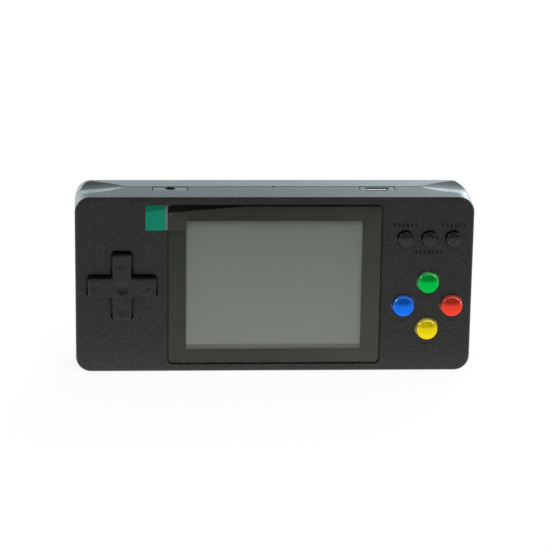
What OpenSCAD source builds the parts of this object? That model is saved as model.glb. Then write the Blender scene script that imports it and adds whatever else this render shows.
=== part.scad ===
// Handheld game console, standing on its bottom edge, built up from separate pieces.
// Frame: X to the viewer's right, +Z up, the front face towards -Y.
// Depth d is measured in millimetres from the front face towards the back.

/* [Body] */
// Width of the case at the seam
body_w = 136; // [122:0.5:150]
// Height of the case at the seam
body_h = 62; // [55:0.5:72]
// Depth of the case from the front face to the back
body_d = 25; // [22.5:0.25:28]
// Radius of the four corners of the case
corner_r = 5.5; // [4.5:0.25:7]
// Thickness of the case walls
wall = 2; // [1.8:0.1:2.4]
// Depth of the seam between the two shells
seam_d = 14; // [14:0.25:15]
// How far the front shell tapers in towards its face
front_draft = 0.3; // [0:0.1:0.7]
// How far the rear shell tapers in towards its back
rear_draft = 0.15; // [0:0.05:0.7]
// Edge rounding round the front face
front_fillet = 1.1; // [0.5:0.1:1.4]
// Edge rounding round the back
rear_fillet = 1.4; // [0.8:0.1:2.5]
// Chamfer of each shell along the seam
seam_chamfer = 0.3; // [0.1:0.05:0.5]
// Height of the locating lip inside the seam
lip_h = 1.5; // [1:0.1:2]
// Thickness of the locating lip
lip_t = 1; // [0.8:0.1:1.2]

/* [Finger scoops] */
// Radius of the two rounded sides of the hollow at each top corner
scoop_r = 58; // [36:1:60]
// How far the middle of each rounded side lies past the seam, which makes a crease there
scoop_crease = 2; // [0:0.1:3]
// Distance of the hollow's tip from the side of the case
scoop_reach = 17.4; // [14:0.2:20]
// Slope of the hollow down towards the corner, in degrees
scoop_slope = 4.8; // [3:0.1:5]

/* [Screen] */
// Width of the panel on each side of the clear lens
side_panel_w = 31.7; // [31:0.1:34]
// Strip of the case above and below the clear lens
lens_margin = 2.9; // [2.6:0.1:4.5]
// Thickness of the clear lens
lens_t = 1; // [0.8:0.1:1.2]
// Corner radius of the lens
lens_r = 1.8; // [1:0.1:3]
// Dark border of the lens at the left and right of the picture area
mask_w = 6.3; // [5.8:0.1:8.5]
// Dark border of the lens above and below the picture area
mask_h = 5.35; // [4.9:0.05:7]
// Margin between the picture area and the opening in the case
view_margin = 2; // [1.5:0.1:2.2]
// Border of the display glass round the opening in the case
glass_border = 2; // [1.5:0.1:2.2]
// Thickness of the gasket in front of the display
gasket_t = 0.4; // [0.3:0.05:0.6]
// Thickness of the display glass
glass_t = 2; // [1.6:0.1:2.2]
// Thickness of the backlight
backlight_t = 1.5; // [1.2:0.1:1.8]
// Thickness of the foam between the backlight and the circuit board
foam_t = 2.5; // [2.3:0.1:2.7]
// Side of each foam pad
foam_w = 8; // [5:0.5:10]
// Thickness of the adhesive frame behind the lens
adhesive_t = 0.1; // [0.05:0.01:0.15]
// Thickness of the protective film and of its pull tab
film_t = 0.12; // [0.08:0.01:0.15]
// Length of the coloured end of the pull tab
tab_w = 7.6; // [5:0.2:9]
// Length of the clear end of the pull tab on the film
tape_w = 6.6; // [4:0.2:8]
// Height of the pull tab
tab_h = 8.8; // [6:0.2:10]

/* [Direction pad] */
// Tip-to-tip size of the cross
pad_span = 23; // [21:0.2:23.6]
// Width of each arm of the cross
pad_arm = 6.4; // [5.4:0.1:7]
// Corner radius of the arms
pad_r = 0.9; // [0.5:0.1:1.4]
// How far the cross stands out of the face
pad_proud = 3; // [2.6:0.1:3.6]
// Gap round the cross in the face
pad_gap = 0.7; // [0.6:0.05:0.9]
// Height of the pad's centre above the middle of the face
pad_rise = 0; // [-2:0.5:2]
// How far the flange under the face reaches past the arm tips
pad_flange = 1.6; // [1.2:0.1:1.8]
// Thickness of that flange
pad_flange_t = 1; // [0.8:0.1:1.1]
// Room for the flange to rock in behind the face
pad_rock = 1.35; // [1.3:0.05:1.5]
// Radius of the ball that the pad rocks on
ball_r = 2.1; // [1.8:0.05:2.2]
// Radius of the dish in the middle of the pad
pad_dish_r = 2.6; // [2:0.1:3]
// Depth of the arrow marks cut into the arms
mark_depth = 0.25; // [0.15:0.05:0.4]
// Distance of the four contact nubs from the pad's centre
nub_reach = 8; // [7:0.1:9]

/* [Action buttons] */
// Diameter of an action button
action_w = 7.3; // [6.5:0.1:7.8]
// How far an action button stands out of the face
action_proud = 2.6; // [2:0.1:3]
// Travel of an action button
action_travel = 1.2; // [0.8:0.1:1.4]
// Distance of each button from the middle of the diamond
action_spread = 8.3; // [8:0.1:8.8]
// How far the diamond's middle lies below the middle of the face
action_drop = 7.4; // [4:0.1:9]
// Rise of the crown on an action button's front
action_crown = 0.5; // [0.3:0.05:0.7]
// Radius of the rounded shoulder round the crown
action_shoulder = 1; // [0.6:0.05:1.2]

/* [Function buttons] */
// Diameter of a function button
function_w = 5.2; // [4:0.1:5.2]
// How far a function button stands out of the face
function_proud = 1.9; // [1.4:0.1:2.4]
// Travel of a function button
function_travel = 0.9; // [0.6:0.1:1.1]
// Rise of the crown on a function button's front
function_crown = 0.3; // [0.2:0.05:0.4]
// Radius of the rounded shoulder round the crown
function_shoulder = 0.6; // [0.4:0.05:0.8]
// Distance between neighbouring function buttons
function_pitch = 8.2; // [7.8:0.1:8.6]
// Distance of the function row from the top of the case
function_inset = 14.65; // [14:0.05:16]

/* [Button fits] */
// Gap round each round button in the face
button_gap = 0.38; // [0.3:0.02:0.45]
// How far a button's flange reaches past its side
button_flange = 1.1; // [0.9:0.05:1.2]
// Thickness of a button's flange
button_flange_t = 1; // [0.8:0.05:1.1]
// Height that is left of a rubber contact dome when its button is pressed home
dome_pressed = 1.8; // [1.5:0.05:2]
// Height of the rubber domes under the direction pad
pad_dome_h = 1.7; // [1.4:0.05:1.9]
// Thickness of the rubber contact sheet
rubber_t = 1; // [0.8:0.05:1.1]
// Shift of the direction pad from the middle of its panel towards the screen
pad_shift = 0.45; // [0:0.05:0.6]
// Shift of the round buttons from the middle of their panel away from the screen
button_shift = 0.2; // [0:0.05:0.5]

/* [Circuit board] */
// Thickness of the circuit board
pcb_t = 1.6; // [1.2:0.1:1.6]
// Gap between the circuit board and the case walls
pcb_gap = 1.2; // [1:0.1:1.6]
// Radius of the posts that the circuit board is screwed to
post_r = 1.8; // [1.7:0.05:1.9]
// Distance of those posts from the top and the bottom of the case
post_inset = 15.75; // [15.3:0.05:17]

/* [Ports] */
// Distance of the two ports from the middle of the top
port_x = 35.4; // [34:0.2:38]
// Width of the tab of the rear shell round each port
port_tab_w = 11.7; // [11.5:0.1:13]
// Width of the charging socket
usb_w = 7.5; // [7:0.1:7.8]
// Thickness of the charging socket
usb_t = 2.6; // [2.2:0.1:2.8]
// Length of the charging socket
usb_l = 5.6; // [5:0.1:6.5]
// Radius of the audio and video jack's bore
jack_r = 1.3; // [1.1:0.05:1.3]
// Thickness of the audio and video jack's body
jack_t = 3.8; // [3.7:0.05:3.9]
// Length of the audio and video jack's body
jack_l = 11; // [9:0.5:11.5]
// Radius of the hole over the charge light
light_r = 0.7; // [0.5:0.05:0.9]

/* [Side controls] */
// Radius of the volume wheel
wheel_r = 7; // [6:0.1:7.5]
// Thickness of the volume wheel
wheel_t = 2; // [1.6:0.1:2.1]
// Number of grip notches on the volume wheel
wheel_notches = 40; // [24:1:48]
// Height of the volume wheel above the middle of the side
wheel_rise = 3; // [-2:0.5:6]
// Height of the power switch above the middle of the side
switch_rise = 6; // [0:0.5:8]
// Travel of the power switch
switch_travel = 2; // [1.5:0.1:2.5]
// Length of the power knob along its travel
knob_l = 4; // [3:0.1:5]
// Depth of the finger hollows in the sides
side_hollow = 1; // [0.6:0.1:1.1]

/* [Battery] */
// Width of the battery
battery_w = 53; // [45:0.5:54]
// Height of the battery
battery_h = 34; // [30:0.5:36]
// Thickness of the battery
battery_t = 5.7; // [5:0.1:6]
// Thickness of the contact block beside the battery
contact_w = 3; // [2.4:0.1:3.4]
// Thickness of the bay's walls
bay_wall = 1.2; // [1:0.1:1.4]
// Width of the ledge that the door rests on
ledge_w = 1.6; // [1.4:0.1:2]
// Thickness of the battery door
door_t = 1.8; // [1.6:0.05:1.9]
// Radius of the door's two hinge pins
hinge_r = 0.5; // [0.4:0.02:0.55]
// Length of each hinge pin in the case
hinge_l = 0.9; // [0.7:0.05:1]

/* [Speaker] */
// Diameter of the speaker
speaker_w = 23; // [20:0.5:24]
// Thickness of the speaker
speaker_t = 4.5; // [4:0.1:5]
// Distance of the speaker from the middle of the back, to the side
speaker_x = 47.5; // [46.5:0.1:48]
// How far the speaker lies below the middle of the back
speaker_drop = 3; // [-2:0.5:6]
// Radius of each grille hole
grille_r = 0.7; // [0.5:0.05:0.9]
// Distance between neighbouring grille holes
grille_pitch = 2.7; // [2.3:0.1:3]
// Number of rings of grille holes round the middle one
grille_rings = 3; // [1:1:3]

/* [Screws] */
// Radius of the case screws' shanks
screw_r = 1.05; // [0.9:0.05:1.2]
// Radius of the case screws' heads
screw_head_r = 2.1; // [1.9:0.05:2.2]
// Radius of the bosses that the case screws go into
boss_r = 3; // [2.8:0.05:3.2]
// Radius of the circuit board screws' shanks
board_screw_r = 0.75; // [0.6:0.05:0.85]

/* [Clearances] */
// Gap round the lens in its recess
lens_gap = 0.3; // [0.2:0.02:0.4]
// Gap between the seam's lip and the front shell
lip_gap = 0.15; // [0.1:0.01:0.2]
// Gap round each port tab in the front shell
tab_gap = 0.25; // [0.15:0.01:0.35]
// Gap round the battery door
door_gap = 0.25; // [0.2:0.01:0.35]
// Running gap between a moving piece and the piece that guides it
run_gap = 0.06; // [0.04:0.01:0.1]
// Loose gap round inner pieces
loose_gap = 0.4; // [0.3:0.05:0.5]

/* [Hidden] */

// Facets of the rounded outer shells
$fn = 48;
shell_fn = 32;
// Overlap that joins two shapes of one piece, and overshoot of a cut
join = 0.5;

// Frame: the face's depth zero lies here, so that the whole object is centred in Y
proud = max(pad_proud, action_proud, function_proud);
front_y = -(body_d - proud) / 2;
mid_z = body_h / 2;
half_w = body_w / 2;
inner_w = body_w - 2 * wall;
inner_h = body_h - 2 * wall;
inner_r = corner_r - wall;

// Screen sizes
lens_w = body_w - 2 * side_panel_w;
lens_h = body_h - 2 * lens_margin;
view_w = lens_w - 2 * mask_w;
view_h = lens_h - 2 * mask_h;
window_w = lens_w + 2 * lens_gap;
window_h = lens_h + 2 * lens_gap;
view_hole_w = view_w + 2 * view_margin;
view_hole_h = view_h + 2 * view_margin;
glass_w = view_hole_w + 2 * glass_border;
glass_h = view_hole_h + 2 * glass_border;

// Depths of the stack behind the lens
lens_d = film_t;
lens_back = lens_d + lens_t;
ledge_d = lens_back + adhesive_t;
gasket_d = wall;
glass_d = gasket_d + gasket_t;
backlight_d = glass_d + glass_t;
foam_d = backlight_d + backlight_t;
pcb_d = foam_d + foam_t;
pcb_back = pcb_d + pcb_t;

// Places of the controls: each group sits in the middle of its panel beside the window
panel_x = (half_w + window_w / 2) / 2;
pad_x = -panel_x + pad_shift;
button_x = panel_x + button_shift;
pad_z = mid_z + pad_rise;
action_z = mid_z - action_drop;
function_z = body_h - function_inset;
rubber_d = pcb_d - rubber_t;
action_dome_d = rubber_d - dome_pressed - action_travel;
function_dome_d = rubber_d - dome_pressed - function_travel;
flange_d = wall + run_gap;
pad_flange_d = wall + pad_rock;
pad_flange_back = pad_flange_d + pad_flange_t;
ball_d = pcb_d - ball_r - run_gap;
nub_end = rubber_d - pad_dome_h - run_gap;
dome_r = 3.2;
dome_top_r = 1.8;
function_dome_r = 2.4;
pad_dome_r = 2.4;
rubber_r = 4.2;
stem_r = 1.6;
nub_r = 1.5;
hub_wall = 1.3;
hub_r = ball_r + hub_wall;

// Ports along the top
usb_d = pcb_back + usb_t / 2;
jack_d = pcb_back + jack_t / 2;
port_tab_lead = 0.8;
port_tab_d = pcb_back - port_tab_lead;
port_top = body_h - seam_chamfer / 2;
usb_slot_gap = 0.25;
usb_sheet = 0.3;
usb_mouth = 0.6;
jack_wall = 0.4;
jack_floor = 1;
jack_barrel_r = jack_r + jack_wall;
jack_barrel_l = 1.7;
light_gap = 0.15;
light_pipe_r = light_r - light_gap;
light_w = 2;

// Board outline
pcb_w = inner_w - 2 * pcb_gap;
pcb_h = inner_h - 2 * pcb_gap;
pcb_top = mid_z + pcb_h / 2;
led_inset = 0.3;
post_gap = 1.2;
post_x = glass_w / 2 + post_r + post_gap;

game_chip_x = -8;
memory_chip_x = 14;
chip_rise = 4;
chip_legs = 12;
leg_w = 0.4;
leg_l = 0.8;
game_chip_w = 14;
game_chip_t = 1.4;
memory_chip_w = 11;
memory_chip_h = 17;
memory_chip_t = 1.2;

// Tall parts on the strip of the board below the battery bay
pcb_bottom = mid_z - pcb_h / 2;
strip_inset = 3;
can_w = 10;
can_h = 4;
can_t = 2.4;
cap_r = 1.8;
cap_h = 2.6;
cap_pitch = 6;

// Flat cable of the display
ribbon_w = 22;
ribbon_t = 0.2;
ribbon_fold = 0.8;
ribbon_tail = 5;

// Case screws
boss_gap = 0.35;
boss_inset = wall + lip_gap + lip_t + boss_r + boss_gap;
boss_x = half_w - boss_inset;
boss_zs = [boss_inset, body_h - boss_inset];
screw_sink = 4.5;
screw_seat = body_d - screw_sink;
screw_head_t = 1.5;
screw_bite = 1;
screw_tip = pcb_d - screw_bite;
screw_gap = 0.05;
board_screw_head_t = 0.9;
pcb_notch = boss_inset + boss_r + loose_gap - wall - pcb_gap;

// Battery bay and door
battery_gap = 0.3;
bay_w = battery_w + contact_w + 2 * battery_gap;
bay_h = battery_h + 2 * loose_gap;
door_d = body_d - door_t;
battery_d = door_d - battery_gap - battery_t;
bay_d = battery_d - run_gap;
door_w = bay_w + 2 * ledge_w;
door_h = bay_h + 2 * ledge_w;
bay_x0 = -bay_w / 2;
contact_x = bay_x0 + contact_w / 2;
battery_x = bay_x0 + contact_w + battery_gap + battery_w / 2;
door_edge_r = door_t / 2;
hinge_x = -door_w / 2 + door_edge_r;
hinge_d = body_d - door_edge_r;
tongue_x = (door_w - ledge_w) / 2;
tongue_w = 12;
tongue_t = 1;
tongue_l = 2.4;
contact_pitch = 5;
contact_h = 16;
contact_pin_r = 0.4;

// Speaker
speaker_r = speaker_w / 2;
speaker_z = mid_z - speaker_drop;
speaker_gasket_t = 0.5;
speaker_rim = 1.6;
speaker_rim_t = 1.2;
speaker_front = body_d - wall - speaker_gasket_t;
speaker_back = speaker_front - speaker_t;
magnet_r = speaker_r * 0.55;
magnet_t = 1.8;
basket_t = 0.6;
lead_r = 0.4;
lead_x = speaker_r * 0.75;

// Side controls
wheel_z = mid_z + wheel_rise;
wheel_shy = 0.35;
wheel_x = half_w - wheel_shy - wheel_r;
pot_w = 10;
pot_t = 1.1;
wheel_float = 0.2;
wheel_d = pcb_back + pot_t + wheel_float;
wheel_back = wheel_d + wheel_t;
pot_shaft_r = 1.5;
pot_cap_r = 2.4;
pot_cap_t = 0.4;
notch_depth = 0.35;
hollow_r = 22;
hollow_front = 3.4;
hollow_rear = 1.6;
switch_z = mid_z + switch_rise;
switch_l = 8.6;
switch_w = 3.6;
switch_t = 3.4;
switch_x = -(half_w - wall - pcb_gap);
knob_d = pcb_back + switch_t / 2;
knob_t = 1.7;
knob_stem_t = 1.2;
knob_stem_l = 1.6;
knob_gap = 0.2;
knob_shy = 0.4;

// Places a child at x and z with its local Z pointing deeper into the case from depth d
module deeper(x, z, d) {
    translate([x, front_y + d, z]) rotate([-90, 0, 0]) children();
}

// Places a child at x and z with its local Z pointing out of the face from depth d
module outward(x, z, d) {
    translate([x, front_y + d, z]) rotate([90, 0, 0]) children();
}

// Extrudes an outline drawn in X and Z from depth d0 to depth d1
module sheet(d0, d1) {
    outward(0, 0, d1) linear_extrude(d1 - d0) children();
}

// Round rod along the depth
module rod(x, z, d0, d1, r) {
    deeper(x, z, d0) cylinder(h = d1 - d0, r = r);
}

// Box along the depth, centred on x and z
module block(x, z, w, h, d0, d1) {
    sheet(d0, d1) translate([x, z]) square([w, h], center = true);
}

// Rectangle with round corners, centred on the origin
module rounded_rect(w, h, r) {
    square([w - 2 * r, h], center = true);
    square([w, h - 2 * r], center = true);
    for (sx = [-1, 1], sz = [-1, 1])
        translate([sx * (w / 2 - r), sz * (h / 2 - r)]) circle(r);
}

// Frame outline between two rectangles with round corners
module frame_outline(w, h, r, hole_w, hole_h, hole_r) {
    difference() {
        rounded_rect(w, h, r);
        rounded_rect(hole_w, hole_h, hole_r);
    }
}

// Cross outline of the direction pad, grown by a gap on every side
module cross_outline(grow) {
    rounded_rect(pad_span + 2 * grow, pad_arm + 2 * grow, pad_r + grow / 2);
    rounded_rect(pad_arm + 2 * grow, pad_span + 2 * grow, pad_r + grow / 2);
}

// Cone at one corner of the case between depths d0 and d1, with radii r0 and r1
module corner_cone(sx, sz, d0, d1, r0, r1) {
    deeper(sx * (half_w - corner_r), mid_z + sz * (mid_z - corner_r), d0)
        cylinder(h = d1 - d0, r1 = r0, r2 = r1, $fn = shell_fn);
}

// Rounded ring at one corner of a tapered face, its middle at depth d; the bottom edge stays level
module corner_ring(sx, sz, d, taper, fillet) {
    r = corner_r - taper;
    z = sz > 0 ? body_h - corner_r : r;
    deeper(sx * (half_w - corner_r), z, d)
        rotate_extrude($fn = shell_fn) translate([r - fillet, 0]) circle(fillet, $fn = shell_fn);
}

// Outer form of the front shell
module front_form() {
    hull() for (sx = [-1, 1], sz = [-1, 1]) {
        corner_cone(sx, sz, seam_d - seam_chamfer, seam_d, corner_r, corner_r - seam_chamfer);
        corner_ring(sx, sz, front_fillet, front_draft, front_fillet);
    }
}

// Outer form of the rear shell
module rear_form() {
    hull() for (sx = [-1, 1], sz = [-1, 1]) {
        corner_cone(sx, sz, seam_d, seam_d + seam_chamfer, corner_r - seam_chamfer, corner_r);
        corner_ring(sx, sz, body_d - rear_fillet, rear_draft, rear_fillet);
    }
}

// Hollow inside both shells between two depths
module inner_space(d0, d1) {
    sheet(d0, d1) translate([0, mid_z]) rounded_rect(inner_w, inner_h, inner_r);
}

// One side of the finger hollows at both top corners; past is 1 in the front shell, -1 in the rear shell
module scoops(past) {
    centre_rise = sqrt(pow(scoop_r, 2) - pow(scoop_crease, 2));
    for (sx = [0, 1]) mirror([sx, 0, 0])
        translate([half_w - scoop_reach, front_y + seam_d, body_h]) rotate([0, scoop_slope, 0])
            translate([0, past * scoop_crease, centre_rise]) rotate([0, 90, 0])
                cylinder(h = 2 * scoop_reach, r = scoop_r, $fn = 96);
}

// Shallow finger hollows in the two sides, at the volume wheel and the power switch
module side_hollows() {
    centre = half_w + hollow_r - side_hollow;
    rod(centre, wheel_z, wheel_d - hollow_front, wheel_back + hollow_rear, hollow_r);
    rod(-centre, switch_z, knob_d - hollow_front, knob_d + hollow_front, hollow_r);
}

// Hole over the charge light, on the seam
module light_hole(r) {
    translate([0, front_y + seam_d, body_h - wall - join]) cylinder(h = wall + 2 * join, r = r);
}

// Places of the four case screws
module at_bosses() {
    for (sx = [-1, 1], z = boss_zs) translate([sx * boss_x, 0, z]) children();
}

// Places of the four circuit board screws
module at_posts() {
    for (sx = [-1, 1], z = [post_inset, body_h - post_inset]) translate([sx * post_x, 0, z]) children();
}

// Places of the four action buttons: right, top, left, bottom
function action_place(i) =
    [button_x + action_spread * cos(90 * i), action_z + action_spread * sin(90 * i)];

// Places of the three function buttons, from the left
function function_place(i) = [button_x + (i - 1) * function_pitch, function_z];

// Holes in the front wall for the screen and the controls
module face_holes() {
    sheet(-join, ledge_d) translate([0, mid_z]) rounded_rect(window_w, window_h, lens_r + lens_gap);
    block(0, mid_z, view_hole_w, view_hole_h, 0, wall + join);
    sheet(-join, wall + join) translate([pad_x, pad_z]) cross_outline(pad_gap);
    for (i = [0:3])
        rod(action_place(i)[0], action_place(i)[1], -join, wall + join, action_w / 2 + button_gap);
    for (i = [0:2])
        rod(function_place(i)[0], function_place(i)[1], -join, wall + join, function_w / 2 + button_gap);
}

// Slots in the side walls of the front shell, open towards the seam
module side_slots() {
    wall_x = half_w - wall / 2;
    chord = sqrt(pow(wheel_r, 2) - pow(half_w - wall - wheel_x, 2)) + loose_gap;
    block(wall_x, wheel_z, wall + 2 * join, 2 * chord, wheel_d - loose_gap, seam_d + join);
    slot_l = knob_l + switch_travel + 2 * knob_gap;
    block(-wall_x, switch_z, wall + 2 * join, slot_l, knob_d - knob_t / 2 - knob_gap, seam_d + join);
}

module front_shell() {
    color("#2c2c2c") difference() {
        union() {
            difference() {
                front_form();
                inner_space(wall, seam_d + join);
            }
            at_bosses() rod(0, 0, wall - join, seam_d, boss_r);
            at_posts() rod(0, 0, wall - join, pcb_d, post_r);
        }
        face_holes();
        side_slots();
        side_hollows();
        scoops(1);
        light_hole(light_r);
        for (sx = [-1, 1])
            block(sx * port_x, body_h, port_tab_w + 2 * tab_gap, 2 * wall + 2 * join,
                  port_tab_d - tab_gap, seam_d + join);
        at_bosses() rod(0, 0, screw_tip - join, seam_d + join, screw_r + screw_gap);
        at_posts() rod(0, 0, wall + join, pcb_d + join, board_screw_r + screw_gap);
    }
}

// Locating lip of the rear shell, cut away where ports and side controls stand
module seam_lip() {
    out_w = inner_w - 2 * lip_gap;
    out_h = inner_h - 2 * lip_gap;
    cut_front = seam_d - lip_h - join;
    cut_back = seam_d + lip_h + join;
    difference() {
        union() {
            sheet(seam_d - lip_h, seam_d + lip_h) translate([0, mid_z])
                frame_outline(out_w, out_h, inner_r - lip_gap, out_w - 2 * lip_t, out_h - 2 * lip_t,
                              inner_r - lip_gap - lip_t);
            sheet(seam_d, seam_d + lip_h) translate([0, mid_z])
                frame_outline(inner_w + join, inner_h + join, inner_r, out_w - 2 * lip_t, out_h - 2 * lip_t,
                              inner_r - lip_gap - lip_t);
        }
        for (sx = [-1, 1])
            block(sx * port_x, body_h - wall, port_tab_w + 2 * join, 4 * lip_t, cut_front, cut_back);
        block(0, body_h - wall, light_w + 2 * join, 4 * lip_t, cut_front, cut_back);
        block(half_w - wall, wheel_z, 4 * lip_t, 2 * wheel_r + 2 * join, cut_front, cut_back);
        block(-half_w + wall, switch_z, 4 * lip_t, switch_l + 2 * join, cut_front, cut_back);
    }
}

// Tabs of the rear shell that reach into the front shell round the two ports
module port_tabs() {
    for (sx = [-1, 1])
        translate([sx * port_x - port_tab_w / 2, front_y + port_tab_d, body_h - wall])
            cube([port_tab_w, seam_d + wall - port_tab_d, port_top - body_h + wall]);
}

// Walls and floor of the battery bay
module bay_walls() {
    rim = 2 * (door_gap + bay_wall);
    block(0, mid_z, door_w + rim, door_h + rim, bay_d - bay_wall, body_d - wall + join);
}

// Rod along the battery door's hinge axis, reaching past both ends of the door
module hinge_rod(r, past) {
    translate([hinge_x, front_y + hinge_d, mid_z]) cylinder(h = door_h + 2 * past, r = r, center = true);
}

// Hollow of the battery bay, the door's recess, its hinge and latch holes and the contact pins' holes
module bay_hollow() {
    block(0, mid_z, bay_w, bay_h, bay_d, body_d);
    block(0, mid_z, door_w + 2 * door_gap, door_h + 2 * door_gap, door_d - run_gap, body_d + join);
    hinge_rod(hinge_r + run_gap, door_gap + hinge_l + run_gap);
    for (i = [-1:1])
        rod(contact_x, mid_z + i * contact_pitch, bay_d - bay_wall - join, bay_d + join,
            contact_pin_r + screw_gap);
    block(tongue_x, mid_z, tongue_t + 2 * loose_gap, tongue_w + 2 * door_gap,
          door_d - tongue_l - loose_gap, body_d);
}

// Rings of holes in front of the speaker
module grille_holes() {
    for (ring = [0:grille_rings], i = [0:max(0, 6 * ring - 1)]) {
        angle = ring == 0 ? 0 : 60 * i / ring;
        rod(speaker_x + ring * grille_pitch * cos(angle), speaker_z + ring * grille_pitch * sin(angle),
            body_d - wall - join, body_d + join, grille_r);
    }
}

module rear_shell() {
    color("#2a2a2a") difference() {
        union() {
            difference() {
                rear_form();
                inner_space(seam_d - join, body_d - wall);
            }
            seam_lip();
            port_tabs();
            bay_walls();
            at_bosses() rod(0, 0, seam_d, body_d - wall + join, boss_r + loose_gap);
        }
        bay_hollow();
        grille_holes();
        side_hollows();
        scoops(-1);
        light_hole(light_r);
        at_bosses() rod(0, 0, seam_d - join, screw_seat + join, screw_r + screw_gap);
        at_bosses() rod(0, 0, screw_seat, body_d + join, screw_head_r + loose_gap);
        translate([port_x, front_y + usb_d, body_h - wall - join]) linear_extrude(wall + 2 * join)
            rounded_rect(usb_w + 2 * usb_slot_gap, usb_t + 2 * usb_slot_gap, usb_t / 4);
        translate([-port_x, front_y + jack_d, body_h - wall - join])
            cylinder(h = wall + 2 * join, r = jack_barrel_r + screw_gap);
    }
}

module screen_lens() {
    color("#1c1d1a") sheet(lens_d, lens_back) translate([0, mid_z]) rounded_rect(lens_w, lens_h, lens_r);
}

module lens_adhesive() {
    color("#101010") sheet(lens_back, ledge_d) translate([0, mid_z])
        frame_outline(lens_w, lens_h, lens_r, view_hole_w, view_hole_h, lens_r / 2);
}

module protective_film() {
    color("#d8d8d0", 0.3) sheet(0, film_t) translate([0, mid_z]) rounded_rect(lens_w, lens_h, lens_r);
}

module film_pull_tab() {
    tab_l = tab_w + tape_w;
    color("#177a60") sheet(-film_t, 0)
        translate([-lens_w / 2 + tape_w - tab_l / 2, mid_z + (lens_h - tab_h) / 2])
            rounded_rect(tab_l, tab_h, tab_h / 12);
}

module lcd_gasket() {
    color("#151515") sheet(gasket_d, glass_d) translate([0, mid_z])
        frame_outline(glass_w, glass_h, lens_r, view_hole_w, view_hole_h, lens_r / 2);
}

module lcd_panel() {
    color("#6f746c") block(0, mid_z, glass_w, glass_h, glass_d, backlight_d);
}

module lcd_backlight() {
    color("#d9dde0") block(0, mid_z, glass_w, glass_h, backlight_d, foam_d);
}

module lcd_foam_pads() {
    reach_x = (glass_w - foam_w) / 2;
    reach_z = (glass_h - foam_w) / 2;
    color("#3a3a3a") for (sx = [-1, 1], sz = [-1, 1])
        block(sx * reach_x, mid_z + sz * reach_z, foam_w, foam_w, foam_d, pcb_d);
}

// Flat cable that folds from the display's lower edge back to the circuit board
module lcd_ribbon() {
    edge_z = mid_z - glass_h / 2;
    turn_z = edge_z - ribbon_fold;
    color("#b8762c") {
        block(0, edge_z - ribbon_fold / 2, ribbon_w, ribbon_fold, backlight_d - ribbon_t, backlight_d);
        block(0, turn_z - ribbon_t / 2, ribbon_w, ribbon_t, backlight_d - ribbon_t, pcb_d);
        block(0, turn_z - ribbon_t + ribbon_tail / 2, ribbon_w, ribbon_tail, pcb_d - ribbon_t, pcb_d);
    }
}

module main_pcb() {
    color("#1f5a36") difference() {
        union() {
            block(0, mid_z, pcb_w, pcb_h - 2 * pcb_notch, pcb_d, pcb_back);
            block(0, mid_z, pcb_w - 2 * pcb_notch, pcb_h, pcb_d, pcb_back);
        }
        at_posts() rod(0, 0, pcb_d - join, pcb_back + join, board_screw_r + screw_gap);
    }
}

// Flat package with a row of bent legs on two sides, on the back of the board
module chip(x, z, w, h, t) {
    block(x, z, w, h, pcb_back, pcb_back + t);
    for (sx = [-1, 1], i = [0:chip_legs - 1])
        block(x + sx * (w + leg_l) / 2, z + (i - (chip_legs - 1) / 2) * h / chip_legs, leg_l + join, leg_w,
              pcb_back, pcb_back + t / 3);
}

module game_chip() {
    color("#181818") chip(game_chip_x, mid_z + chip_rise, game_chip_w, game_chip_w, game_chip_t);
}

module memory_chip() {
    color("#1b1b1b") chip(memory_chip_x, mid_z + chip_rise, memory_chip_w, memory_chip_h, memory_chip_t);
}

module crystal() {
    color("#b9bcc0") sheet(pcb_back, pcb_back + can_t) translate([game_chip_x, pcb_bottom + strip_inset])
        rounded_rect(can_w, can_h, 0.475 * can_h);
}

module capacitors() {
    color("#8d9297") for (i = [-1:1])
        rod(memory_chip_x + cap_pitch * i, pcb_bottom + strip_inset, pcb_back, pcb_back + cap_h, cap_r);
}

// Charging socket: a folded metal sleeve round a contact tongue
module usb_port() {
    top = body_h - usb_mouth;
    color("#c9c6bd") translate([port_x, front_y + usb_d, 0]) {
        difference() {
            translate([0, 0, top - usb_l]) linear_extrude(usb_l) rounded_rect(usb_w, usb_t, usb_t / 5);
            translate([0, 0, top - usb_l + usb_sheet]) linear_extrude(usb_l)
                rounded_rect(usb_w - 2 * usb_sheet, usb_t - 2 * usb_sheet, usb_t / 8);
        }
        translate([-usb_w / 4, -usb_t / 8, top - usb_l + usb_sheet / 2])
            cube([usb_w / 2, usb_t / 4, usb_l - usb_mouth]);
    }
}

// Audio and video jack: a square body with a round barrel and a blind bore
module av_jack() {
    barrel_base = body_h - usb_mouth - jack_barrel_l;
    color("#202020") difference() {
        union() {
            translate([-port_x - jack_t / 2, front_y + pcb_back, barrel_base - jack_l])
                cube([jack_t, jack_t, jack_l]);
            translate([-port_x, front_y + jack_d, barrel_base - join])
                cylinder(h = jack_barrel_l + join, r = jack_barrel_r);
        }
        translate([-port_x, front_y + jack_d, barrel_base - jack_l + jack_floor])
            cylinder(h = jack_l + jack_barrel_l, r = jack_r);
    }
}

// Charge light: a small lamp on the board with a clear pipe up to the hole in the seam
module charge_led() {
    base_l = 2.4;
    base_top = pcb_top - led_inset;
    color("#e8e2d8") {
        translate([-light_w / 2, front_y + pcb_back, base_top - base_l])
            cube([light_w, seam_d + light_r - pcb_back, base_l]);
        translate([0, front_y + seam_d, base_top - join])
            cylinder(h = body_h - usb_mouth - base_top + join, r = light_pipe_r);
    }
}

module power_switch() {
    slot_l = knob_stem_l + switch_travel + 2 * knob_gap;
    color("#3b3b3b") difference() {
        block(switch_x + switch_w / 2, switch_z, switch_w, switch_l, pcb_back, pcb_back + switch_t);
        block(switch_x, switch_z, switch_w, slot_l,
              knob_d - knob_stem_t / 2 - run_gap, knob_d + knob_stem_t / 2 + run_gap);
    }
}

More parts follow.
